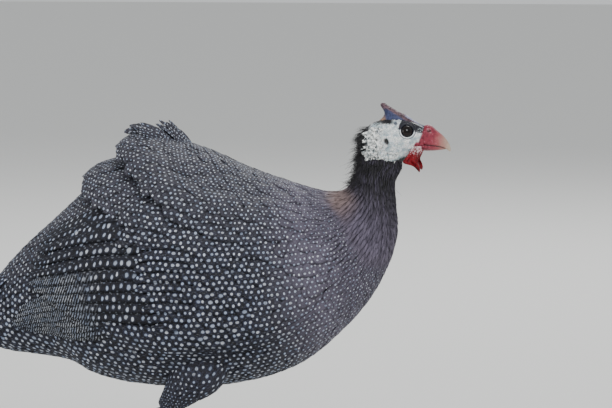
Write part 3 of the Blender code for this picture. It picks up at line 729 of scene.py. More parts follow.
def feather_nodes(tree, roots, feather, spread, seed):
    """Sets a feather on every point, turned and sized by the point's attributes."""
    shape = tree.node("GeometryNodeObjectInfo", None, {"Object": feather})[4]
    vector = {"data_type": "FLOAT_VECTOR"}
    read = "GeometryNodeInputNamedAttribute"
    turn, size = (tree.node(read, vector, {"Name": name})[0] for name in ("turn", "size"))
    least, most = tree.join(0, spread * -0.2, -spread), tree.join(0, spread * 0.2, spread)
    chance = tree.node("FunctionNodeRandomValue", vector, {"Min": least, "Max": most, "Seed": seed})[0]
    turned = tree.node("ShaderNodeVectorMath", {"operation": "ADD"}, {0: turn, 1: chance})[0]
    inputs = {"Points": roots, "Instance": shape, "Rotation": turned, "Scale": size}
    return tree.node("GeometryNodeInstanceOnPoints", None, inputs)[0]


def lay_feathers(name, template, material, places, turns, sizes, seed, spread=0.0):
    """Feathers at places on a flat pattern in millimetres.

    Gives their mesh, its points, the points' places on the vane and the number of each point's feather.
    """
    mesh = bpy.data.meshes.new(name)
    mesh.from_pydata(np.asarray(places, float).tolist(), [], [])
    write_attribute(mesh, "turn", turns)
    write_attribute(mesh, "size", sizes)
    kinds = {"Feather": "Object", "Turn spread": "Float", "Seed": "Int"}
    values = {"Feather": template, "Turn spread": math.radians(spread), "Seed": seed}
    link(template)
    made = run_nodes(name, mesh, feather_nodes, material, kinds, values)
    bpy.context.scene.collection.objects.unlink(template)
    number = np.repeat(np.arange(len(places)), len(made.vertices) // len(places))
    vane = read_vectors(made.attributes["vane"].data, "vector")
    return made, read_vectors(made.vertices, "co"), vane, number


def read_vectors(held, name):
    flat = np.empty(len(held) * 3)
    held.foreach_get(name, flat)
    return flat.reshape(-1, 3)


def write_attribute(mesh, name, values):
    held = mesh.attributes.get(name) or mesh.attributes.new(name, "FLOAT_VECTOR", "POINT")
    held.data.foreach_set("vector", np.ravel(values))


def dress(name, mesh, patches, marks, points, material, slot, turned=False):
    """Finishes laid feathers: their map, what their material reads, and their points on the bird."""
    bake_map(mesh, patches)
    for title, columns in marks.items():
        write_attribute(mesh, title, rows_of(*columns) * np.ones((len(mesh.vertices), 1)))
    mesh.vertices.foreach_set("co", np.ravel((points - (MIDDLE_OF_LENGTH, 0, 0)) * MM))
    for title in ("turn", "size"):
        if title in mesh.attributes:
            mesh.attributes.remove(mesh.attributes[title])
    mesh.update()
    if turned:
        mesh.flip_normals()
    return piece(name, mesh, material, slot)


PATCH_SHARE = 0.85


def bake_map(mesh, roots, local=None):
    """A UV map in which every feather has a patch of its own at its root's place on the unwrapped skin."""
    if local is None:
        across, along, section = read_vectors(mesh.attributes["vane"].data, "vector").T
        local = rows_of(across / np.abs(across).max(), 1.9 * along / along.max() - 0.9 - 0.1 * section**2)
    number = np.arange(len(local)) * len(roots) // len(local)
    roots = (roots - roots.min(axis=0)) / np.ptp(roots, axis=0)
    gaps = np.abs(roots[:, None] - roots).max(axis=-1) + 2 * np.eye(len(roots))
    patch = PATCH_SHARE * gaps.min(axis=1)
    widest = patch.max()
    places = roots[number] * (1 - widest) + widest / 2 + local * (patch * (1 - widest) / 2)[number][:, None]
    corners = np.empty(len(mesh.loops), int)
    mesh.loops.foreach_get("vertex_index", corners)
    layer = mesh.uv_layers.new(name="OFBake")
    layer.data.foreach_set("uv", np.ravel(places[corners]))


def cells(count):
    """Places in a square grid, for feathers too long for a patch at their root."""
    side = math.ceil(math.sqrt(count))
    return rows_of(np.arange(count) % side, np.arange(count) // side).astype(float)


SPOT_STEP, SPOT_GROWTH, SPOT_TILT = 5.1, 0.0023, math.radians(25)
SPOT_CENTRE, SPOT_ROUND, SPOT_SPREAD, SPOT_ROWS = (10, 190), 88, 0.55, 1.12
FIRST_CELL = 300


def spot_lattice(s, angle):
    """A place in the grid of spots: a map of each flank that keeps them round, and smaller on the back."""
    x, y, z = np.moveaxis(trunk_base(s, angle), -1, 0)
    spread = (2 / (1 + np.abs(y) / SPOT_ROUND)) ** SPOT_SPREAD
    x, z = (x - SPOT_CENTRE[0]) * spread, (z - SPOT_CENTRE[1]) * spread
    c, d = math.cos(SPOT_TILT), math.sin(SPOT_TILT)
    reach = np.exp(SPOT_GROWTH * (z * c + x * d)) / (SPOT_GROWTH * SPOT_STEP)
    turn = SPOT_GROWTH * (x * c - z * d)
    across, down = reach * np.sin(turn), -reach * np.cos(turn)
    return across * c - down * d + FIRST_CELL, (across * d + down * c) * SPOT_ROWS + FIRST_CELL


def body_tone(s, angle):
    """Spot size, net and plainness, and blackness, streaks and pinkness, of the small feathers."""
    side = np.abs(signed(angle))
    plain = smooth_step(11.7, 13.0, s + 0.5 * smooth_step(60, 20, side) - 0.5 * smooth_step(100, 170, side))
    plain = np.maximum(plain, 0.34 * smooth_step(8.8, 11.4, s))
    back = 1 - smooth_step(35, 85, side)
    size = (1.14 - 0.16 * back) * (1 - 0.26 * smooth_step(8.4, 12.0, s))
    upper = back * smooth_step(2.0, 7.0, s + 3 * back)
    net = 0.12 + 0.88 * np.maximum(upper, 0.82 * smooth_step(8.6, 11.0, s))
    black = smooth_step(12.9, 15.9, s + 0.3 * smooth_step(60, 20, side))
    pink = smooth_step(75, 30, side) * smooth_step(11.5, 12.8, s) * (1 - smooth_step(13.6, 14.8, s))
    pink = np.maximum(pink, (1 - plain) * 0.25)
    return (size, net, plain), (black, 0, pink)


def feather_pitch(s):
    """The step between rows of small feathers."""
    return np.interp(s, (0, 3, 10, 12.5), (6.0, 7.0, 7.0, 5.4))


def plume_pitch(s):
    return np.interp(s, (11.4, 13.5, 15.5, 18), (2.9, 2.7, 2.1, 1.7))


def coat_roots(first, last, step, keep):
    """Staggered rows of roots round the trunk, as s and angle."""
    places, s, row = [], first, 0
    while s < last:
        pitch = float(step(s))
        ring = trunk_base(np.full(49, s), np.linspace(0, 360, 49))
        around = np.linalg.norm(np.diff(ring, axis=0), axis=1).sum()
        count = max(int(around / (pitch * 1.18)), 8)
        for j in range(count):
            angle = (j + 0.5 * (row % 2)) * 360 / count - 180
            if keep(s, angle):
                places.append((s, angle))
        s += pitch / float(along_scale(s, 90.0))
        row += 1
    return np.array(places)


FLAPS = (
    # start of the rise, rear edge, how far both move forward at the sides, height
    (7.3, 6.2, 1.4, 15.0),
    (6.3, 5.2, 1.3, 10.5),
)
FLAP_MIDDLE, FLAP_REACH = -8, 56
EDGE_SHARES = (0.9, 0.72, 0.54, 0.36, 0.18)  # of a fold's height, for the rows of roots at its rear edge
EDGE_LENGTH, EDGE_REACH = 0.42, 0.7
HIDDEN = (4.8, 7.9)  # where along the trunk flight feathers hide the small ones
TURN_SPREAD = 3.0  # of the small feathers, in degrees
PLUME_PLACES, PLUME_LENGTHS, PLUME_WIDTHS = (11.4, 13.5, 15, 18), (15, 15, 11, 6.5), (2.1, 1.9, 1.3, 0.9)


def flap_edge(flap, angle):
    across = np.clip(np.abs(signed(angle) - FLAP_MIDDLE) / FLAP_REACH, 0, 1)
    return flap[1] + flap[2] * across**2, across


def flap_lift(root, root_angle, s, angle):
    """How far the back's folds raise points at s and angle, of feathers from root and root_angle."""
    lift = np.zeros_like(s)
    for flap in FLAPS:
        rear, across = flap_edge(flap, angle)
        start = rear + flap[0] - flap[1]
        rise = flap[3] * (1 - across**2) * smooth_step(start, rear, np.maximum(s, rear))
        rise = rise * (1 - 0.5 * np.clip(rear - s, 0, 1))
        lift = np.where(root > flap_edge(flap, root_angle)[0], np.maximum(lift, rise), lift)
    return lift


def flap_edge_roots():
    """Roots that fill the rounded rear edge of each fold, with their share of the fold's height."""
    roots, shares = [], []
    for flap in FLAPS:
        for k, share in enumerate(EDGE_SHARES):
            for angle in np.arange(-FLAP_REACH + 4, FLAP_REACH - 3, 3.6) + FLAP_MIDDLE + 1.8 * (k % 2):
                roots.append((float(flap_edge(flap, angle)[0]) + 0.12 + 0.02 * k, angle))
                shares.append(share)
    return np.array(roots), np.array(shares)


def under_the_wing(s, angle):
    """Where flight feathers hide the small ones."""
    _, lower = wing_outline(min(max(s, WING_REAR), WING_FRONT))
    return HIDDEN[0] < s < HIDDEN[1] and np.interp(s, HIDDEN, (56, 76)) < abs(angle) < lower - 16


SEEDS = {
    "coat": 41,
    "fold edges": 53,
    "neck": 61,
    "wings": 80,
    "tail": 90,
    "tufts": 21,
    "thighs": 31,
    "flakes": 17,
    "hairs": 77,
}


def lay_coat(name, roots, template, material, slot, depth, seed, share=None):
    """Small feathers from their roots. share is how much of a fold's height each of them has at its edge."""
    draw = np.random.default_rng(seed)
    s, angle = roots.T
    pitch = feather_pitch(s) * draw.normal(1, 0.06, len(s))
    length, half = pitch * settings().feather_length, pitch * settings().feather_width
    if share is not None:
        length = length * EDGE_LENGTH
    for flap in FLAPS:
        ahead = s - flap_edge(flap, angle)[0]
        near = (ahead > 0) & (ahead < EDGE_REACH) & (np.abs(signed(angle) - FLAP_MIDDLE) < FLAP_REACH)
        length = np.where(near, length * (0.45 + 0.55 * np.clip(ahead / EDGE_REACH, 0, 1)), length)
    return lay_on_trunk(name, roots, length, half, template, material, slot, depth, draw, share)


def lay_plumes(name, roots, template, material, slot, depth, seed):
    """Narrow hair-like feathers of the neck."""
    draw = np.random.default_rng(seed)
    s = roots[:, 0]
    length = np.interp(s, PLUME_PLACES, PLUME_LENGTHS) * draw.normal(1, 0.12, len(s))
    half = np.interp(s, PLUME_PLACES, PLUME_WIDTHS) * draw.normal(1, 0.1, len(s))
    return lay_on_trunk(name, roots, length, half, template, material, slot, depth, draw, None)


def lay_on_trunk(name, roots, length, half, template, material, slot, depth, draw, share):
    """Feathers with their roots in the trunk's skin, wrapped round it."""
    s, angle = roots.T
    count = len(s)
    along = np.clip(along_scale(s, angle), 9, 60)
    around = np.clip(round_scale(s, angle), 0.2, 3)
    scale_x, scale_y = length * PER_SECTION / along, half * PER_DEGREE / around
    s = s + draw.normal(0, 0.04, count)
    angle = angle + draw.normal(0, 0.12, count) * half * 1.2 / around
    places = rows_of(s * PER_SECTION, angle * PER_DEGREE, -depth + draw.normal(0, 0.08, count))
    turns = rows_of(draw.normal(0, 0.02, count), np.arctan2(depth + 0.1, scale_x), 0)
    sizes, seed = rows_of(scale_x, scale_y, 1), int(draw.integers(1000))
    mesh, flat, vane, number = lay_feathers(name, template, material, places, turns, sizes, seed, TURN_SPREAD)
    own = draw.uniform(0.05, 0.98, count)[number]
    at_s, at_angle = flat[:, 0] / PER_SECTION, flat[:, 1] / PER_DEGREE
    flap = flap_lift(s[number], angle[number], at_s, at_angle)
    if share is not None:
        flap = flap * (share[number] * (1 - 0.88 * vane[:, 1] ** 1.3))
    tone, shade = body_tone(at_s, at_angle)
    marks = {"lattice": (*spot_lattice(at_s, at_angle), 0), "tone": tone, "shade": shade}
    marks["vane"] = vane[:, 0] * half[number], vane[:, 1] * length[number], own
    points = trunk(at_s, at_angle, flat[:, 2] + wing_lift(at_s, at_angle) + flap)
    return dress(name, mesh, places[:, :2], marks, points, material, slot)


def from_ends(root_s, tip_s, root_angle, tip_angle, roll=0):
    """Places, turns and lengths on the flat pattern of feathers whose roots and tips are given."""
    x, y = (tip_s - root_s) * PER_SECTION, (tip_angle - root_angle) * PER_DEGREE
    places = rows_of(root_s * PER_SECTION, root_angle * PER_DEGREE, 0)
    return places, rows_of(roll, 0, np.arctan2(-y, -x)), np.linalg.norm(rows_of(x, y), axis=1)


def quill_shades(number):
    """A lightness of its own for each long feather."""
    return 0.55 + 0.4 * ((number * 7) % 5) / 5


WING_TIERS = {
    # name: feathers, s of the roots, s of the tips, angles of the roots, angles of the tips, heights
    "primaries": (9, (7.4, 7.2, 7.0), (2.3, 1.7, 2.6), (79, 92, 107), (78, 95, 110), (0.2, 3.4, 2.4)),
    "secondaries": (12, (8.8, 9.2, 9.2), (3.7, 2.9, 4.6), (76, 97, 118), (30, 66, 101), (0.4, 5.6, 4.6)),
    "coverts": (19, (11.0, 10.9, 10.6), (7.0, 6.2, 6.8), (48, 84, 120), (48, 84, 121), (0.4, 6.4, 7.6)),
}
SPOTS_EVERY = 5.4
TIER_APART = 40  # between the grids of spots of two tiers, in cells


def lay_wing_tier(side, title, template, material, seed):
    """One tier of flight feathers or coverts, each lying over the next one down."""
    count, *ends, rise = WING_TIERS[title]
    root_s, tip_s, root_angle, tip_angle = (curve(values, np.linspace(0, 2, count)) for values in ends)
    places, turns, length = from_ends(root_s, tip_s, root_angle, tip_angle)
    half = (np.ptp(root_angle) + np.ptp(tip_angle)) / 2 / (count - 1) * VANE_OVERLAP * PER_DEGREE
    name, sizes = f"{title}_{SIDE_NAMES[side]}", rows_of(length, half, 1)
    mesh, flat, vane, number = lay_feathers(name, template, material, places, turns, sizes, seed)
    s, angle = flat[:, 0] / PER_SECTION, flat[:, 1] / PER_DEGREE
    sunk = smooth_step(-2.5, 2.5, number) * smooth_step(count + 1, count - 3, number)
    height = flat[:, 2] + curve(rise, 2 * vane[:, 1]) * sunk + VANE_STEP * VANE_OVERLAP * vane[:, 0]
    height = height - 1.2 * (1 - sunk)
    if title == "coverts":
        p, q = spot_lattice(s, angle)
        tone, shade = body_tone(s, angle)
    else:
        p = (1 - vane[:, 1]) * length[number] / SPOTS_EVERY + TIER_APART
        q = number + 0.1 + VANE_OVERLAP * vane[:, 0] + TIER_APART * (2 + list(WING_TIERS).index(title))
        border = 56 + (s - 2.5) * 7.1
        streak = smooth_step(4.95, 4.6, s) * smooth_step(border - 2, border + 3, angle)
        tone, shade = (0.98 - 0.22 * smooth_step(6.5, 3.5, s), 0.13, 0), (0, streak, 0.6)
    marks = {"lattice": (p, q, 0), "tone": tone, "shade": shade}
    marks["vane"] = vane[:, 0] * half, vane[:, 1] * length[number], quill_shades(number)
    points = trunk(s, angle, height) * (1, side, 1)
    return dress(name, mesh, cells(count), marks, points, material, "plumage", side == RIGHT)


TAIL_TIERS = {
    # name: feathers, reach of the roots, widest place, heights, lengths in the middle and at the sides, upper
    "tail_feathers": (13, 20, 1.0, (0, 0, 0), (112, 92), True),
    "upper_tail_coverts": (11, 14, 0.86, (3, 6.5, 4.5), (86, 66), True),
    "short_tail_coverts": (9, 4, 0.8, (6, 10.5, 8.5), (60, 44), True),
    "under_tail_coverts": (9, 22, 0.8, (-16, -13, -7), (88, 70), False),
}
TAIL_SPREAD, TAIL_CELL = 40.0, 90


def lay_tail_tier(title, template, material, seed):
    """One tier of the tail's fan."""
    count, reach, widest, rise, lengths, upper = TAIL_TIERS[title]
    face = 1 if upper else -1
    sideways = np.linspace(-widest, widest, count)
    length = lengths[0] + (lengths[1] - lengths[0]) * np.abs(sideways / widest) ** 1.6 - reach
    places = rows_of(-reach, sideways * 0.85 * TAIL_SPREAD, 0)
    turns = rows_of(0, 0, np.arctan2(-sideways * 0.15 * TAIL_SPREAD, length))
    sizes = rows_of(length, 2 * widest / (count - 1) * VANE_OVERLAP * TAIL_SPREAD, 1)
    mesh, flat, vane, number = lay_feathers(title, template, material, places, turns, sizes, seed)
    way = np.sign(sideways.round(3))[number] * face
    lean = VANE_STEP * (VANE_OVERLAP * vane[:, 0] * -way + (way == 0) * face)
    height = flat[:, 2] + curve(rise, 2 * vane[:, 1]) + lean
    p = (1 - vane[:, 1]) * length[number] / SPOTS_EVERY + TAIL_CELL
    marks = {"lattice": (p, number * 3 + 1.5 + 1.5 * vane[:, 0] + TAIL_CELL, 0), "tone": (1, 0.25, 0)}
    marks["shade"] = 0, 0, 0
    marks["vane"] = vane[:, 0] * 6, vane[:, 1] * length[number], quill_shades(number)
    points = tail_fan(-flat[:, 0], flat[:, 1] / TAIL_SPREAD, height)
    return dress(title, mesh, cells(count), marks, points, material, "plumage")


TUFTS = (
    # s of the root and the tip, angle, height of the tip, half width, spread in degrees
    (7.5, 6.95, 0, 12.5, 2.8, 1.6),
    (7.1, 6.5, -3, 8.0, 3.6, 2.6),
    (6.95, 6.4, 3, 7.0, 3.6, 2.6),
)
TUFT_BLADES, TUFT_SINK = 14, 2.0


def lay_tufts(template, material):
    """The raised tufts on top of the back, of blades that stand on edge and show their flat sides."""
    draw = np.random.default_rng(SEEDS["tufts"])
    rows = []
    for s_root, s_tip, angle, high, half, spread in TUFTS:
        for _ in range(TUFT_BLADES):
            turn, move = draw.normal(0, 1), draw.normal(0, 0.05)
            ends = s_root + move, s_tip + move * 2 + 0.06 * abs(turn)
            angles = angle + turn * spread * 0.6, angle + turn * spread
            size = high * draw.uniform(0.45, 1.0), half * draw.uniform(0.7, 1.1)
            rows.append((*ends, *angles, *size, draw.normal(1.15, 0.25)))
    *ends, high, half, roll = np.array(rows).T
    places, turns, length = from_ends(*ends, roll)
    name, sizes = "back_tufts", rows_of(length, half, 1)
    mesh, flat, vane, number = lay_feathers(name, template, material, places, turns, sizes, 5)
    s, angle = flat[:, 0] / PER_SECTION, flat[:, 1] / PER_DEGREE
    rise = (high[number] + TUFT_SINK) * vane[:, 1] ** 1.3 - TUFT_SINK + flap_lift(s * 0 + 9, angle, s, angle)
    lattice = vane[:, 1] * 8 + number * 9, vane[:, 0] * half[number] / 2.4 + number * 7, 0
    marks = {"lattice": lattice, "tone": (1.1, 1, 0), "shade": (0, 0, 0)}
    marks["vane"] = vane[:, 0] * 3, vane[:, 1] * 20, draw.uniform(0.7, 0.98, len(rows))[number]
    points = trunk(s, angle, flat[:, 2] + rise)
    return dress(name, mesh, cells(len(rows)), marks, points, material, "plumage")


THIGH = (
    (14, 40, 140, 24, 19),
    (4, 41, 120, 23, 18),
    (-8, 40, 105, 16, 13),
    (-17, 38, 95, 11, 9.5),
    (-23, 37, 88.5, 8, 7.4),
)


def thigh(side, share, angle, height):
    """Points round a thigh. share runs from 0 in the body to 4 at the heel."""
    x, y, z, deep, wide = np.moveaxis(curve(THIGH, share), -1, 0)
    way = curve(THIGH, share + 0.05)[..., :3] - curve(THIGH, share - 0.05)[..., :3]
    way /= np.linalg.norm(way, axis=-1, keepdims=True)
    across = np.cross(way, (-1.0, 0.0, 0.0))
    across /= np.linalg.norm(across, axis=-1, keepdims=True)
    front = np.cross(across, way)
    turn = np.radians(angle)
    wide, deep = wide + height, deep + height
    place = rows_of(x, y, z)
    place = place + front * (deep * np.cos(turn))[..., None] + across * (wide * np.sin(turn))[..., None]
    return place * (1, side, 1)


THIGH_LAST, THIGH_SINK = 4.02, 1.6
THIGH_ROWS = (0.2, 3.75, 0.17)  # first, end, step
PER_SHARE, PER_THIGH_DEGREE = 16.0, 0.35


def lay_thigh(side, template, material):
    """Small feathers that point down the thigh."""
    draw = np.random.default_rng(SEEDS["thighs"] + side)
    roots = []
    for row, share in enumerate(np.arange(*THIGH_ROWS)):
        _, _, _, deep, wide = curve(THIGH, share)
        count = max(int(math.pi * (deep + wide) / 7.0), 7)
        roots += [(share, (j + 0.5 * (row % 2)) * 360 / count) for j in range(count)]
    share, angle = (np.array(roots) + draw.normal(0, 1, (len(roots), 2)) * (0.03, 1.5)).T
    deep = curve(THIGH, share)[:, 3:].mean(axis=1)
    length = np.interp(share, (0, 2.6, 4), (20, 15, 7.5))
    half = 4.6 * PER_THIGH_DEGREE / (deep * math.pi / 180)
    places = rows_of(-share * PER_SHARE, angle * PER_THIGH_DEGREE, -THIGH_SINK)
    turns = rows_of(0, np.arctan2(THIGH_SINK, length), draw.normal(0, 0.05, len(length)))
    name, sizes = f"thigh_feathers_{SIDE_NAMES[side]}", rows_of(length, half, 1)
    mesh, flat, vane, number = lay_feathers(name, template, material, places, turns, sizes, 9, TURN_SPREAD)
    share, angle = np.clip(-flat[:, 0] / PER_SHARE, 0, THIGH_LAST), flat[:, 1] / PER_THIGH_DEGREE
    beyond = np.maximum(-flat[:, 0] / PER_SHARE - THIGH_LAST, 0) * 10
    marks = {"lattice": (share * 4.0 + 40, angle / 360 * 27 + 60, 0), "tone": (1.0 - 0.1 * share, 0.4, 0)}
    marks["shade"] = 0, 0, 0
    marks["vane"] = vane[:, 0] * 5, vane[:, 1] * 15, draw.uniform(0.3, 0.95, len(roots))[number]
    points = thigh(side, share, angle, flat[:, 2]) - rows_of(0, 0, beyond)
    return dress(name, mesh, places[:, :2], marks, points, material, "plumage", side == LEFT)


SKIN_START, SKIN_RINGS, SKIN_POINTS = 0.35, 96, 64
THIGH_RINGS, THIGH_POINTS = 20, 24


def body_skin(depth):
    """The skin of the trunk and neck, which lies under the feathers by the coat's depth."""
    s, angle = tube_grid(SKIN_START, NECK_TOP, SKIN_RINGS, SKIN_POINTS)
    lift = wing_lift(s, angle) * smooth_step(7.4, 8.6, s) + flap_lift(s - 0.3, angle, s, angle) * 0.9
    return closed_loft("body_skin", trunk(s, angle, lift - depth))


def thigh_skin(side, depth):
    share, angle = tube_grid(0, len(THIGH) - 1, THIGH_RINGS, THIGH_POINTS)
    return closed_loft("thigh_skin_" + SIDE_NAMES[side], thigh(side, share, angle, share * 0 - depth))


FOLDS = (
    ((139, 11.4, 302), (7.0, 2.8, 3.4)),
    ((140.5, 12.2, 294.5), (7.5, 3.0, 3.6)),
    ((147.5, 12.6, 288.5), (8.5, 3.0, 3.2)),
    ((158.5, 11.2, 286.8), (8.0, 2.6, 2.8)),
)


FOLD_HEIGHT, LID_DEPTH = 1.5, 3.2
HEAD_RINGS, HEAD_POINTS = 150, 132


def head_base(i, turn):
    x, top, bottom, half = np.moveaxis(curve(HEAD, i), -1, 0)
    turn = np.radians(turn)
    return rows_of(x, half * np.sin(turn), (top + bottom) / 2 + (top - bottom) / 2 * np.cos(turn))


def head_normal(i, turn):
    """Outward ways of the plain head, whose rows are i and whose crown is at a turn of 0."""
    round_it = head_base(i, turn + 1) - head_base(i, turn - 1)
    normal = np.cross(round_it, head_base(i + 0.02, turn) - head_base(i - 0.02, turn))
    normal /= np.linalg.norm(normal, axis=-1, keepdims=True)
    middle = np.sum(normal * (head_base(i, turn) - np.array([154, 0, 300])), axis=-1, keepdims=True)
    return normal * np.sign(middle)


def head_mesh():
    """The head's bare skin, with lids, ears, wrinkles and loose folds at the back of the cheek."""
    i, turn = tube_grid(0.02, len(HEAD) - 1.02, HEAD_RINGS, HEAD_POINTS)
    flat, normals = head_base(i, turn).reshape(-1, 3), head_normal(i, turn).reshape(-1, 3)
    mirror = rows_of(1, np.where(flat[:, 1] < 0, -1.0, 1.0), 1)
    far = np.linalg.norm(flat - (np.array(EYE_AT) + np.array(EYE_LOOKS) * LID_DEPTH) * mirror, axis=1)
    move = 1.25 * np.exp(-(((far - 5.7) / 1.0) ** 2)) + 0.5 * np.exp(-(((far - 8.0) / 1.0) ** 2))
    move -= 4.2 * (1 - smooth_step(3.7, 5.0, far))
    from_ear = np.linalg.norm((flat - np.array(EAR_AT) * mirror) * (1.2, 0.3, 0.85), axis=1)
    move += 0.55 * np.exp(-(((from_ear - 2.8) / 0.7) ** 2)) - 2.6 * (1 - smooth_step(1.0, 2.3, from_ear))
    loose = smooth_step(166, 143, flat[:, 0]) * smooth_step(312, 296, flat[:, 2])
    open_skin = smooth_step(5.5, 9.5, far) * smooth_step(2.4, 4.2, from_ear)
    for centre, halves in FOLDS:
        away = (flat * mirror - centre) / halves
        move += FOLD_HEIGHT * np.exp(-0.7 * np.sum(away**2, axis=1)) * open_skin
    wrinkles = np.array([abs(roughness_of(p * (1.1, 1, 0.8), 0.24, 3.0)) for p in flat])
    ridges = np.array([roughness_of(p * (0.6, 1, 1.3), 0.42, 11.0) for p in flat])
    move += open_skin * ((0.35 - wrinkles) * (0.6 + 3.2 * loose) + ridges * (0.15 + 1.1 * loose))
    front = smooth_step(179.7, 175, flat[:, 0])
    points = flat + normals * (move * (0.15 + 0.85 * front))[:, None]
    return closed_loft("face", points.reshape(*i.shape, 3))


def lay_flakes(side, template, material):
    """Ragged flakes of loose white skin behind and below the ear."""
    draw = np.random.default_rng(SEEDS["flakes"] + side)
    rows = []
    while len(rows) < settings().flakes:
        i, turn = draw.uniform(0.9, 4.6), draw.uniform(48, 152)
        x, _, z = head_base(i, turn)
        near_ear = math.hypot(x - EAR_AT[0], z - EAR_AT[2]) < 4.2
        behind = 134.5 + abs(draw.normal(0, 1)) < x < 144.5 + draw.normal(0, 2.5)
        below = x > 136 and z < 289.5 + draw.normal(0, 1.2)
        if not near_ear and (behind or below) and z > 285 + (x - 149) ** 2 * 0.014:
            rows.append((i, turn))
    i, turn = np.array(rows).T
    per_row, per_degree, count = 7.0, 0.25, len(rows)
    length, half = draw.uniform(1.8, 5.6, count), draw.uniform(0.45, 1.4, count)
    places = rows_of(i * per_row, turn * per_degree, -0.3)
    turns = rows_of(draw.normal(0, 0.4, count), draw.uniform(0.1, 0.75, count), draw.normal(0.5, 0.9, count))
    sizes = rows_of(length, half, 1)
    mesh, flat, _, _ = lay_feathers("flakes", template, material, places, turns, sizes, 3)
    i, turn = flat[:, 0] / per_row, flat[:, 1] / per_degree
    points = (head_base(i, turn) + head_normal(i, turn) * (flat[:, 2:] + 0.9)) * (1, side, 1)
    name = "loose_skin_" + SIDE_NAMES[side]
    return dress(name, mesh, places[:, :2], {}, points, material, "face_skin", side == RIGHT)


CASQUE = (
    (309, 142, 175.5, 6.0),
    (312, 140, 177, 6.4),
    (315, 141.5, 175, 6.2),
    (318, 145.5, 170, 5.6),
    (321.4, 147.8, 165, 4.8),
    (324.3, 147.3, 158.5, 4.0),
    (327, 145.6, 153.8, 3.4),
    (329.2, 144.4, 150, 2.6),
    (330.6, 145.8, 148.2, 1.2),
)


CASQUE_RINGS, CASQUE_POINTS = 60, 56


def casque_mesh():
    rings = []
    for i in np.linspace(0.6, len(CASQUE) - 1, CASQUE_RINGS):
        z, back, front, half = curve(CASQUE, i)
        ring = []
        for turn in np.linspace(0, 2 * math.pi, CASQUE_POINTS, endpoint=False):
            c, s = math.cos(turn), math.sin(turn)
            y = half * np.sign(s) * abs(s) ** 1.15
            place = np.array([(back + front) / 2 + (front - back) / 2 * c, y, z])
            rough = 0.4 * roughness_of(place * (0.7, 1, 0.7), 0.35, 5.0) + 0.2 * roughness_of(place, 1.1, 8.0)
            ring.append(place + np.array([c, s, 0.2]) * rough)
        rings.append(ring)
    return closed_loft("casque_horn", rings)


UPPER_BILL = (
    (176, 310, 176, 300, 5.6),
    (180, 313, 180, 298.5, 7.2),
    (185.5, 312.2, 185, 298, 6.9),
    (190.5, 308.6, 189.5, 297.4, 5.8),
    (195, 304.8, 193.5, 296.6, 4.5),
    (198.6, 300.4, 196.4, 295.4, 3.0),
    (200.6, 296, 198.8, 293.6, 1.6),
    (200.9, 292.8, 200.1, 292.4, 0.4),
)
LOWER_BILL = (
    (176, 298.2, 176, 294.4, 4.8),
    (180, 297.9, 180, 292.9, 6.2),
    (186, 297.2, 186, 292.9, 5.4),
    (191.5, 296.4, 191.5, 293.4, 4.0),
    (195.5, 295.4, 195.3, 293.9, 2.0),
    (197.2, 294.5, 197.2, 294.2, 0.5),
)


BILL_RINGS, BILL_POINTS = 46, 34
NOSTRIL_FLAP = (185.2, 6.0, 307.4), (4.4, 4.0, 4.0)
NOSTRIL_HOLE = (184.0, 6.6, 309.0), (1.9, 3.0, 1.2)


def bill_mesh(name, table, points_up):
    """Half of the bill: rounded outside, with a hollow along its cutting edge."""
    rings = []
    for i in np.linspace(0, len(table) - 1, BILL_RINGS):
        ax, az, bx, bz, half = curve(table, i)
        (far_x, far_z), (edge_x, edge_z) = ((ax, az), (bx, bz)) if points_up else ((bx, bz), (ax, az))
        ring = []
        for turn in np.linspace(-90, 90, BILL_POINTS):
            share, y = math.cos(math.radians(turn)), half * math.sin(math.radians(turn))
            share = share**0.9
            place = np.array([edge_x + (far_x - edge_x) * share, y, edge_z + (far_z - edge_z) * share])
            if points_up:
                side = np.array([1, np.sign(y) or 1, 1])
                forms = (((place - side * at) / halves) for at, halves in (NOSTRIL_FLAP, NOSTRIL_HOLE))
                flap, hole = (np.linalg.norm(away) for away in forms)
                out = np.array([0.0, np.sign(y), 0.5])
                place = place + out * (1.1 * math.exp(-(flap**2)) - 1.6 * math.exp(-(hole**4)))
                place = place + np.array([0, 0, 0.9]) * math.exp(-(((place[0] - 184) / 2.6) ** 2)) * share
            ring.append(place)
        for share in (0.6, 0.0, -0.6):
            lift = 0.6 * half * (1 - share**2) * (0.35 if points_up else -0.3)
            ring.append(np.array([edge_x, half * share, edge_z + lift]))
        rings.append(ring)
    return closed_loft(name, rings)


WATTLE = (
    (174.8, 7.0, 297.0, 3.2, 1.3),
    (173.9, 9.2, 293.6, 4.7, 2.2),
    (172.4, 10.7, 289.6, 4.9, 1.9),
    (171.2, 11.5, 285.8, 4.5, 2.0),
    (174.0, 11.7, 282.4, 2.8, 1.6),
    (175.9, 11.4, 279.2, 1.7, 1.1),
    (176.8, 11.1, 276.8, 0.5, 0.4),
)


WATTLE_RINGS, WATTLE_POINTS = 46, 48


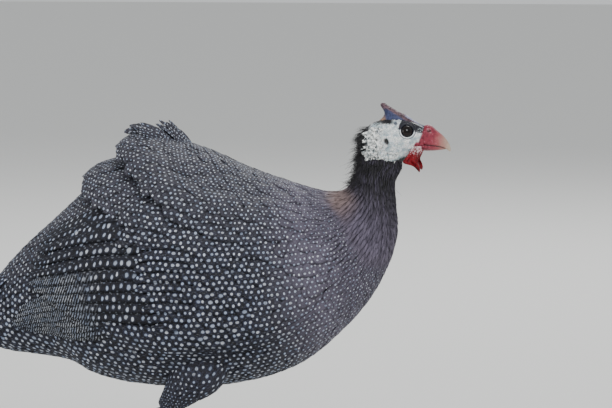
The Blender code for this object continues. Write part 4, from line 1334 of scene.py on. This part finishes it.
def wattle_mesh(side):
    """A pendent flap with folds, pebbled skin and a notched lower edge."""
    rings = []
    for i in np.linspace(0, len(WATTLE) - 1, WATTLE_RINGS):
        x, y, z, half, thick = curve(WATTLE, i)
        ring = []
        for turn in np.linspace(0, 2 * math.pi, WATTLE_POINTS, endpoint=False):
            along, out = half * math.cos(turn), thick * math.sin(turn)
            fold = 0.42 * min(i, 3) * math.sin(along * 1.15) + 0.3 * math.sin(along * 2.4 + i)
            lobe = 2.6 * math.exp(-(((i - 3.2) / 0.8) ** 2)) * max(-math.cos(turn), 0) ** 2
            place = np.array([x + along - lobe * 1.2, y + out * (1 + lobe * 0.2) + fold, z - lobe * 0.4])
            place = place + np.array([0, math.sin(turn), 0]) * 0.6 * roughness_of(place, 0.5, 2.0)
            ring.append(place * (1, side, 1))
        rings.append(ring)
    return closed_loft(f"wattle_{SIDE_NAMES[side]}_skin", rings)


HEEL, TOE_ROOT = (-27, 36, 84), (-8, 33, 8)
SHANK = (
    # share of the way from heel to toe root, half depth, half width
    (-0.05, 4.6, 4.2),
    (0.0, 6.4, 5.6),
    (0.09, 6.0, 5.0),
    (0.18, 4.4, 3.9),
    (0.8, 4.1, 3.8),
    (0.93, 4.9, 4.9),
    (1.03, 5.0, 5.4),
)
TOES = {
    # name: heading in degrees from straight ahead towards the outside, length, claw length
    "inner": (-30, 35, 10),
    "middle": (-3, 47, 12),
    "outer": (32, 37, 10),
    "hind": (168, 17, 8),
}
SCALE_SIZE, SHANK_PLATE, TOE_PLATE = 2.3, 4.8, 2.7
ROW_HEIGHT = 0.87  # of small scales, in widths
DEGREES = 57.3  # to a radian
FLOOR_GAP = 0.05
LIMB_POINTS = 56


def small_scales(u, w):
    """Height from 0 to 1 of rounded scales in staggered rows, at places in millimetres."""
    row = np.floor(u / (ROW_HEIGHT * SCALE_SIZE))
    across = w / SCALE_SIZE + 0.5 * (row % 2)
    off_x, off_y = across - np.round(across), (u / (ROW_HEIGHT * SCALE_SIZE) - row - 0.5) * ROW_HEIGHT
    return np.clip(1 - (off_x**2 + off_y**2) / 0.27, 0, 1) ** 0.6


def plates(u, angle, size, half_turn, columns):
    """Height from 0 to 1 of overlapping plates in one or two columns along the middle of a limb's front."""
    stagger = 0.5 * (angle > 0) if columns == 2 else 0
    share = (u / size + stagger) % 1
    seam = half_turn - np.abs(angle)
    seam = np.minimum(np.abs(angle), seam) if columns == 2 else seam
    ends = smooth_step(0, 0.12, share) * smooth_step(1, 0.92, share)
    return (0.45 + 0.55 * share) * ends * smooth_step(0, 8, seam)


def limb_rings(path, deep, wide, front, relief, floor):
    """Rings square to a path, whose angle of 0 looks to the front. relief gives heights in millimetres."""
    way = np.gradient(path, axis=0)
    way /= np.linalg.norm(way, axis=1, keepdims=True)
    across = np.cross(way, front)
    across /= np.linalg.norm(across, axis=1, keepdims=True)
    ahead = np.cross(across, way)
    angle = np.linspace(-180, 180, LIMB_POINTS, endpoint=False) * np.ones((len(path), 1))
    steps = np.linalg.norm(np.diff(path, axis=0), axis=1)
    u = np.concatenate([[0], np.cumsum(steps)])[:, None] * np.ones(LIMB_POINTS)
    high, marks = relief(u, angle)
    turn = np.radians(angle)
    out = (deep[:, None] + high) * np.cos(turn), (wide[:, None] + high) * np.sin(turn)
    rings = path[:, None] + ahead[:, None] * out[0][..., None] + across[:, None] * out[1][..., None]
    if floor:
        rings[..., 2] = np.maximum(rings[..., 2], FLOOR_GAP)
    return rings, marks


def scaly_relief(half_turn, plate, columns, radius, below, height, sunk):
    """The relief of a limb with plates in front and small scales behind."""

    def relief(u, angle):
        in_front = np.abs(angle) < half_turn
        small = small_scales(u, angle / DEGREES * radius) * below
        high = np.where(in_front, plates(u, angle, plate, half_turn, columns), small)
        return high * height - sunk, rows_of(high, in_front * 1.0, 0)

    return relief


def shank_rings(side):
    share = np.linspace(-0.05, 1.03, 210)
    places, deep, wide = zip(*SHANK)
    deep, wide = np.interp(share, places, deep), np.interp(share, places, wide)
    heel, root = np.array(HEEL, float), np.array(TOE_ROOT, float)
    path = (heel + (root - heel) * share[:, None]) * (1, side, 1)
    relief = scaly_relief(56, SHANK_PLATE, 2, 4.2, 0.75, 0.5, 0.3)
    return limb_rings(path, deep, wide, (1, 0, 0), relief, False)


def toe_parts(side, name):
    """The rings of a toe, where it ends, the way it points and its radius there."""
    heading, length, _ = TOES[name]
    hind, turn = name == "hind", math.radians(heading)
    way = np.array([math.cos(turn), side * math.sin(turn), 0.0])
    share = np.linspace(0, 1, 50 if hind else 90)
    radius = (4.5 - 1.5 * share + 0.45 * np.cos(share * 6 * math.pi)) * (0.8 if hind else 1)
    end = length + (2.0 if hind else 1.0)
    path = np.array(TOE_ROOT, float) * (1, side, 0) + way * (-3 + (end + 3) * share)[:, None]
    path[:, 2] = radius * 0.79 + (3.0 * (1 - share) if hind else 0)
    narrow = np.sqrt(np.clip((1.03 - share) / 0.08, 0.2, 1))
    relief = scaly_relief(62, TOE_PLATE, 1, 3.4, 0.6, 0.42, 0.25)
    rings, marks = limb_rings(path, radius * 0.92 * narrow, radius * narrow, (0, 0, 1), relief, True)
    return rings, marks, path[-1], way, radius[-1]


def claw_rings(end, way, radius, length):
    """A curved claw, flat below and pointed."""
    share = np.linspace(-0.15, 1, 30)
    path = end + way * (length * share)[:, None]
    path[:, 2] = path[:, 2] + 1.0 * share - 2.6 * share**2
    size = radius * (0.8 - 0.74 * share) * smooth_step(-0.3, 0.05, share)
    return limb_rings(path, size, size * 0.8, (0, 0, 1), lambda u, angle: (angle * 0, angle * 0), True)[0]


def ball_rings(wide, high, rows, end):
    """Rings of a ball from its foot up, with their tilts and the turns along them."""
    tilt = np.linspace(end, math.pi - end, rows)[:, None]
    turn = np.linspace(0, 2 * math.pi, LIMB_POINTS, endpoint=False)
    out = wide * np.sin(tilt)
    return rows_of(out * np.cos(turn), out * np.sin(turn), -high * np.cos(tilt)), tilt, turn


def foot_ball_rings(side):
    rings, tilt, turn = ball_rings(7, 5, 46, 0.04)
    scale = small_scales(tilt * 7, turn * 8 * np.sin(tilt))
    rings = rings * (1 + (0.4 * scale[..., None] - 0.3) / 8) + (TOE_ROOT[0], TOE_ROOT[1] * side, 4.4)
    rings[..., 2] = np.maximum(rings[..., 2], FLOOR_GAP)
    return rings, rows_of(scale, 0, 0)


def scaly_piece(name, parts, material, node):
    """A piece of one or more lofts, with the height of its scales as an attribute."""
    mesh = closed_loft(name, *[rings for rings, _ in parts])
    marks = [values for _, heights in parts for values in (heights.reshape(-1, 3), heights[[0, -1], 0])]
    write_attribute(mesh, "relief", np.concatenate(marks))
    return piece(name, mesh, material, "leg_skin", node)


HAIR_BEND = 0.14
HAIR_TIMES, HAIR_CORNERS = (0, 0.25, 0.5, 0.75, 1.0), 3


def hair_nodes(tree, lines, thickness):
    """Turns short edges into tapering hairs."""
    curves = tree.node("GeometryNodeMeshToCurve", None, {0: lines})[0]
    share = tree.node("GeometryNodeSplineParameter")[0]
    radius = (1 - share * 0.85) * thickness
    shaped = tree.node("GeometryNodeSetCurveRadius", None, {"Curve": curves, "Radius": radius})[0]
    circle = {"Resolution": HAIR_CORNERS, "Radius": 1.0}
    section = tree.node("GeometryNodeCurvePrimitiveCircle", None, circle)[0]
    inputs = {"Curve": shaped, "Profile Curve": section, "Fill Caps": True, "Scale": radius}
    return tree.node("GeometryNodeCurveToMesh", None, inputs)[0]


def hair_mesh(name, hairs, thickness, material):
    """Hairs, each with a root, a way and a bend."""
    points = [root + way * t + bend * t * t for root, way, bend in hairs for t in HAIR_TIMES]
    count = len(HAIR_TIMES)
    edges = [(first + k, first + k + 1) for first in range(0, len(points), count) for k in range(count - 1)]
    mesh = new_mesh(name, points, [], edges)
    values = {"Thickness": thickness * MM}
    made = run_nodes(name, mesh, hair_nodes, material, {"Thickness": "Float"}, values)
    places = np.arange(count * HAIR_CORNERS)
    corner, ring = places % HAIR_CORNERS - 1, places // HAIR_CORNERS
    local = rows_of(corner, ring * 0.4 - 0.9 + 0.1 * corner**2)
    x, y, z = np.array([root for root, _, _ in hairs]).T
    bake_map(made, rows_of(np.arctan2(y, 150 - x), z), np.tile(local, (len(hairs), 1)))
    return made


def hair_material():
    material, tree, feed = shader("black_bristle", 0.5)
    feed(Base_Color=tree.mix(tree.noise(tree.place(), 0.3), (0.006, 0.006, 0.008), (0.03, 0.027, 0.03)))
    return material


def nape_hairs(material):
    """Black hair-like feathers on the nape, throat and crown's edge."""
    draw = np.random.default_rng(SEEDS["hairs"])
    hairs = []
    for _ in range(int(settings().hairs) // 2):
        i, turn = draw.uniform(0.3, 1.9), draw.choice((-1, 1)) * draw.uniform(0, 150)
        root = head_base(i, turn)
        if root[0] > 134 + draw.normal(0, 1):
            continue
        way = head_normal(i, turn) + np.array([-0.9, 0, -0.9]) * draw.uniform(0.6, 1.3)
        way = way / np.linalg.norm(way) * draw.uniform(4, 8)
        hairs.append((root, way, draw.normal(0, HAIR_BEND, 3) * 6))
    for _ in range(int(settings().hairs)):
        s, angle = draw.uniform(14.6, 17.9), draw.choice((-1, 1)) * abs(draw.normal(0, 42))
        root = trunk(s, angle, -0.8)
        back = trunk_base(s - 0.6, angle) - trunk_base(s, angle)
        way = back / np.linalg.norm(back) + (trunk(s, angle, 1.0) - root) * draw.uniform(0.15, 0.7)
        long = draw.uniform(5, 9) if draw.random() > 0.12 else draw.uniform(10, 15)
        way = way / np.linalg.norm(way) * long
        hairs.append((root, way, draw.normal(0, HAIR_BEND, 3) * long))
    return hair_mesh("nape_hairs", hairs, 0.17, material)


def size_setting(name, description, default, low, high):
    return bpy.props.FloatProperty(name=name, description=description, default=default, min=low, max=high)


def count_setting(name, description, default, high):
    return bpy.props.IntProperty(name=name, description=description, default=default, min=0, max=high)


def colour_setting(name, description, *default):
    return bpy.props.FloatVectorProperty(name=name, description=description, default=default, subtype="COLOR")


class GuineaFowlSettings(bpy.types.PropertyGroup):
    """Sizes and colours of the guinea fowl's coat."""

    coat_depth: size_setting("Coat depth", "How far the skin lies under the feathers, in mm", 1.1, 0.5, 6)
    feather_length: size_setting("Feather length", "In steps between rows of feathers", 3.2, 1.5, 6)
    feather_width: size_setting(
        "Feather width", "Half width, in steps between rows of feathers", 0.94, 0.4, 2
    )
    hairs: count_setting("Nape hairs", "How many there are", 900, 4000)
    flakes: count_setting("Skin flakes", "On each cheek", 190, 1000)
    ground: colour_setting("Ground", "Feathers between the spots", 0.0078, 0.0076, 0.0088)
    net_dark: colour_setting("Net, dark", "The darker of the net's greys", 0.0275, 0.028, 0.034)
    net_light: colour_setting("Net, light", "The lighter of the net's greys", 0.076, 0.073, 0.098)
    haze: colour_setting("Haze", "Blue-grey round the spots", 0.066, 0.076, 0.132)
    spot_white: colour_setting("Spots, white", "The whitest spots", 0.61, 0.64, 0.70)
    spot_blue: colour_setting("Spots, blue", "The bluest spots", 0.33, 0.40, 0.54)
    neck_dark: colour_setting("Neck, dark", "Darker plain feathers", 0.057, 0.050, 0.073)
    neck_light: colour_setting("Neck, light", "Lighter plain feathers", 0.172, 0.148, 0.206)
    neck_pink: colour_setting("Neck, pink", "Plain feathers at the neck's foot", 0.216, 0.156, 0.15)
    neck_black: colour_setting("Neck, black", "Feathers below the head", 0.022, 0.022, 0.023)


BODY_PIECES, NECK_PIECES, SKIN_BELOW_ROOTS = 5, 2, 0.3


class GUINEA_OT_skin(bpy.types.Operator):
    """Make the skin under the feathers"""

    bl_idname = "guinea.skin"
    bl_label = "Skin"

    def execute(self, context):
        down, depth = down_material(), settings().coat_depth + SKIN_BELOW_ROOTS
        under = "torso", "neck", "tail", "wing_right", "wing_left"
        piece("body_skin", body_skin(depth), down, "plumage", *under)
        for side, name in SIDE_NAMES.items():
            piece("thigh_skin_" + name, thigh_skin(side, depth), down, "plumage", "thigh_" + name)
        return {"FINISHED"}


class GUINEA_OT_coat(bpy.types.Operator):
    """Lay the small feathers of the body and the neck"""

    bl_idname = "guinea.coat"
    bl_label = "Coat"

    def execute(self, context):
        material, depth = plumage_material(), settings().coat_depth
        template = feather_template("contour_feather", CONTOUR_SHAPE, CONTOUR_SECTION)
        body = coat_roots(0.5, BODY_END, feather_pitch, lambda s, angle: not under_the_wing(s, angle))
        for k in range(BODY_PIECES):
            roots = body[k::BODY_PIECES]
            lay_coat(f"coat_{k + 1}", roots, template, material, "plumage", depth, SEEDS["coat"] + k)
        roots, shares = flap_edge_roots()
        lay_coat("fold_edges", roots, template, material, "plumage", depth, SEEDS["fold edges"], shares)
        plume = feather_template("plume", PLUME_SHAPE, PLUME_SECTION)
        neck = coat_roots(NECK_BASE, NECK_TOP + 0.5, plume_pitch, lambda s, angle: True)
        for k in range(NECK_PIECES):
            roots, seed = neck[k::NECK_PIECES], SEEDS["neck"] + k
            lay_plumes(f"neck_coat_{k + 1}", roots, plume, material, "neck_plumage", depth, seed)
        for side in SIDE_NAMES:
            lay_thigh(side, template, material)
        return {"FINISHED"}


class GUINEA_OT_quills(bpy.types.Operator):
    """Lay the long feathers of the wings, the tail and the back"""

    bl_idname = "guinea.quills"
    bl_label = "Long feathers"

    def execute(self, context):
        material = bpy.data.materials["spotted_feather"]
        template = feather_template("flight_feather", FLIGHT_SHAPE, FLIGHT_SECTION)
        for side in SIDE_NAMES:
            for k, title in enumerate(WING_TIERS):
                lay_wing_tier(side, title, template, material, SEEDS["wings"] + k)
        for k, title in enumerate(TAIL_TIERS):
            lay_tail_tier(title, template, material, SEEDS["tail"] + k)
        lay_tufts(feather_template("tuft_feather", CONTOUR_SHAPE, CONTOUR_SECTION), material)
        return {"FINISHED"}


class GUINEA_OT_head(bpy.types.Operator):
    """Make the face, casque, bill, wattles, eyes and nape hairs"""

    bl_idname = "guinea.head"
    bl_label = "Head"

    def execute(self, context):
        piece("face", head_mesh(), face_material(), "face_skin", "head")
        piece("casque_horn", casque_mesh(), casque_material(), "casque_horn", "casque")
        horn = bill_material()
        for node, table, up in (("bill_upper", UPPER_BILL, True), ("bill_lower", LOWER_BILL, False)):
            piece(node + "_horn", bill_mesh(node + "_horn", table, up), horn, "bill_horn", node)
        red, iris = wattle_material(), eye_material()
        for side, name in SIDE_NAMES.items():
            piece(f"wattle_{name}_skin", wattle_mesh(side), red, "wattle_skin", "wattle_" + name)
            rings = ball_rings(EYE_RADIUS, EYE_RADIUS, 40, 0.02)[0] + np.array(EYE_AT) * (1, side, 1)
            piece(f"eye_{name}_ball", closed_loft(f"eye_{name}_ball", rings), iris, "eye", "eye_" + name)
        template, loose = feather_template("flake", PLUME_SHAPE, PLUME_SECTION), flake_material()
        for side in SIDE_NAMES:
            lay_flakes(side, template, loose)
        black = hair_material()
        piece("nape_hairs", nape_hairs(black), black, "neck_plumage")
        return {"FINISHED"}


class GUINEA_OT_legs(bpy.types.Operator):
    """Make the scaly shanks and toes, and the claws"""

    bl_idname = "guinea.legs"
    bl_label = "Legs"

    def execute(self, context):
        scaly, horn = leg_material(), claw_material()
        for side, name in SIDE_NAMES.items():
            scaly_piece(f"shank_{name}_skin", [shank_rings(side)], scaly, "shank_" + name)
            parts = [foot_ball_rings(side)]
            for toe, (_, _, length) in TOES.items():
                rings, marks, end, way, radius = toe_parts(side, toe)
                parts.append((rings, marks))
                node = f"claw_{toe}_{name}"
                mesh = closed_loft(node + "_horn", claw_rings(end, way, radius, length))
                piece(node + "_horn", mesh, horn, "claw_horn", node)
            scaly_piece(f"foot_{name}_skin", parts, scaly, "foot_" + name)
        return {"FINISHED"}


CAMERA_LOOK, CAMERA_AWAY = (0.0917, 0.0, 0.249), 2.7
CAMERA_TURN, CAMERA_RISE = 7.0, 6.0
FRAME_WIDTH, SENSOR_WIDTH = 0.4896, 36
FLOOR_REACH, FLOOR_COLOUR = 9.0, (0.72, 0.72, 0.70, 1)
SKY_COLOUR, SKY_STRENGTH = (0.86, 0.88, 0.90, 1), 0.78
LIGHTS = (
    # name, place, height it looks at, size and power
    ("key", (0.9, -1.9, 1.9), 0.2, 1.3, 45),
    ("fill", (-1.8, -1.4, 1.0), 0.2, 1.6, 14),
    ("rim", (0.3, 1.9, 1.8), 0.25, 1.4, 31),
)


def looking(way):
    """The turn of a camera or lamp that looks along a way."""
    return way.to_track_quat("-Z", "Y").to_euler()


def area_light(name, place, aim, size, power):
    light = bpy.data.lights.new(name, "AREA")
    light.shape, light.size, light.energy = "DISK", size, power
    lamp = link(bpy.data.objects.new(name, light))
    lamp.location, lamp.rotation_euler = place, looking(Vector((0, 0, aim)) - Vector(place))


class GUINEA_OT_stage(bpy.types.Operator):
    """Set the floor, the lights and the camera"""

    bl_idname = "guinea.stage"
    bl_label = "Stage"

    def execute(self, context):
        mesh = bpy.data.meshes.new("floor")
        corners = [(x * FLOOR_REACH, y * FLOOR_REACH, 0) for x, y in ((-1, -1), (1, -1), (1, 1), (-1, 1))]
        mesh.from_pydata(corners, [], [(0, 1, 2, 3)])
        mesh.materials.append(shader("pale_floor", 0.8, Base_Color=FLOOR_COLOUR)[0])
        floor = link(bpy.data.objects.new("floor", mesh))
        world = bpy.data.worlds.new("soft_light")
        world.use_nodes = True
        backdrop = world.node_tree.nodes["Background"]
        backdrop.inputs["Color"].default_value = SKY_COLOUR
        backdrop.inputs["Strength"].default_value = SKY_STRENGTH
        context.scene.world = world
        for light in LIGHTS:
            area_light(*light)
        turn, rise = math.radians(CAMERA_TURN), math.radians(CAMERA_RISE)
        way = Vector((math.sin(turn) * math.cos(rise), -math.cos(turn) * math.cos(rise), math.sin(rise)))
        camera = link(bpy.data.objects.new("camera", bpy.data.cameras.new("camera")))
        camera.location, camera.rotation_euler = Vector(CAMERA_LOOK) + way * CAMERA_AWAY, looking(-way)
        camera.data.sensor_width = SENSOR_WIDTH
        camera.data.lens = SENSOR_WIDTH * CAMERA_AWAY / FRAME_WIDTH
        context.scene.camera = camera
        return {"FINISHED"}


STEPS = GUINEA_OT_skin, GUINEA_OT_coat, GUINEA_OT_quills, GUINEA_OT_head, GUINEA_OT_legs, GUINEA_OT_stage


class GUINEA_PT_panel(bpy.types.Panel):
    """The guinea fowl's settings and steps"""

    bl_label = "Guinea fowl"
    bl_idname = "GUINEA_PT_panel"
    bl_space_type = "VIEW_3D"
    bl_region_type = "UI"
    bl_category = "Guinea fowl"

    def draw(self, context):
        for name in GuineaFowlSettings.__annotations__:
            self.layout.prop(context.scene.guinea_fowl, name)
        for operator in STEPS:
            self.layout.operator(operator.bl_idname)


KINDS = GuineaFowlSettings, *STEPS, GUINEA_PT_panel


def register():
    for kind in KINDS:
        bpy.utils.register_class(kind)
    bpy.types.Scene.guinea_fowl = bpy.props.PointerProperty(type=GuineaFowlSettings)


def unregister():
    del bpy.types.Scene.guinea_fowl
    for kind in reversed(KINDS):
        bpy.utils.unregister_class(kind)


def main():
    register()
    bpy.ops.guinea.skin()
    bpy.ops.guinea.coat()
    bpy.ops.guinea.quills()
    bpy.ops.guinea.head()
    bpy.ops.guinea.legs()
    bpy.ops.guinea.stage()
    bpy.context.view_layer.update()


if __name__ == "__main__":
    main()
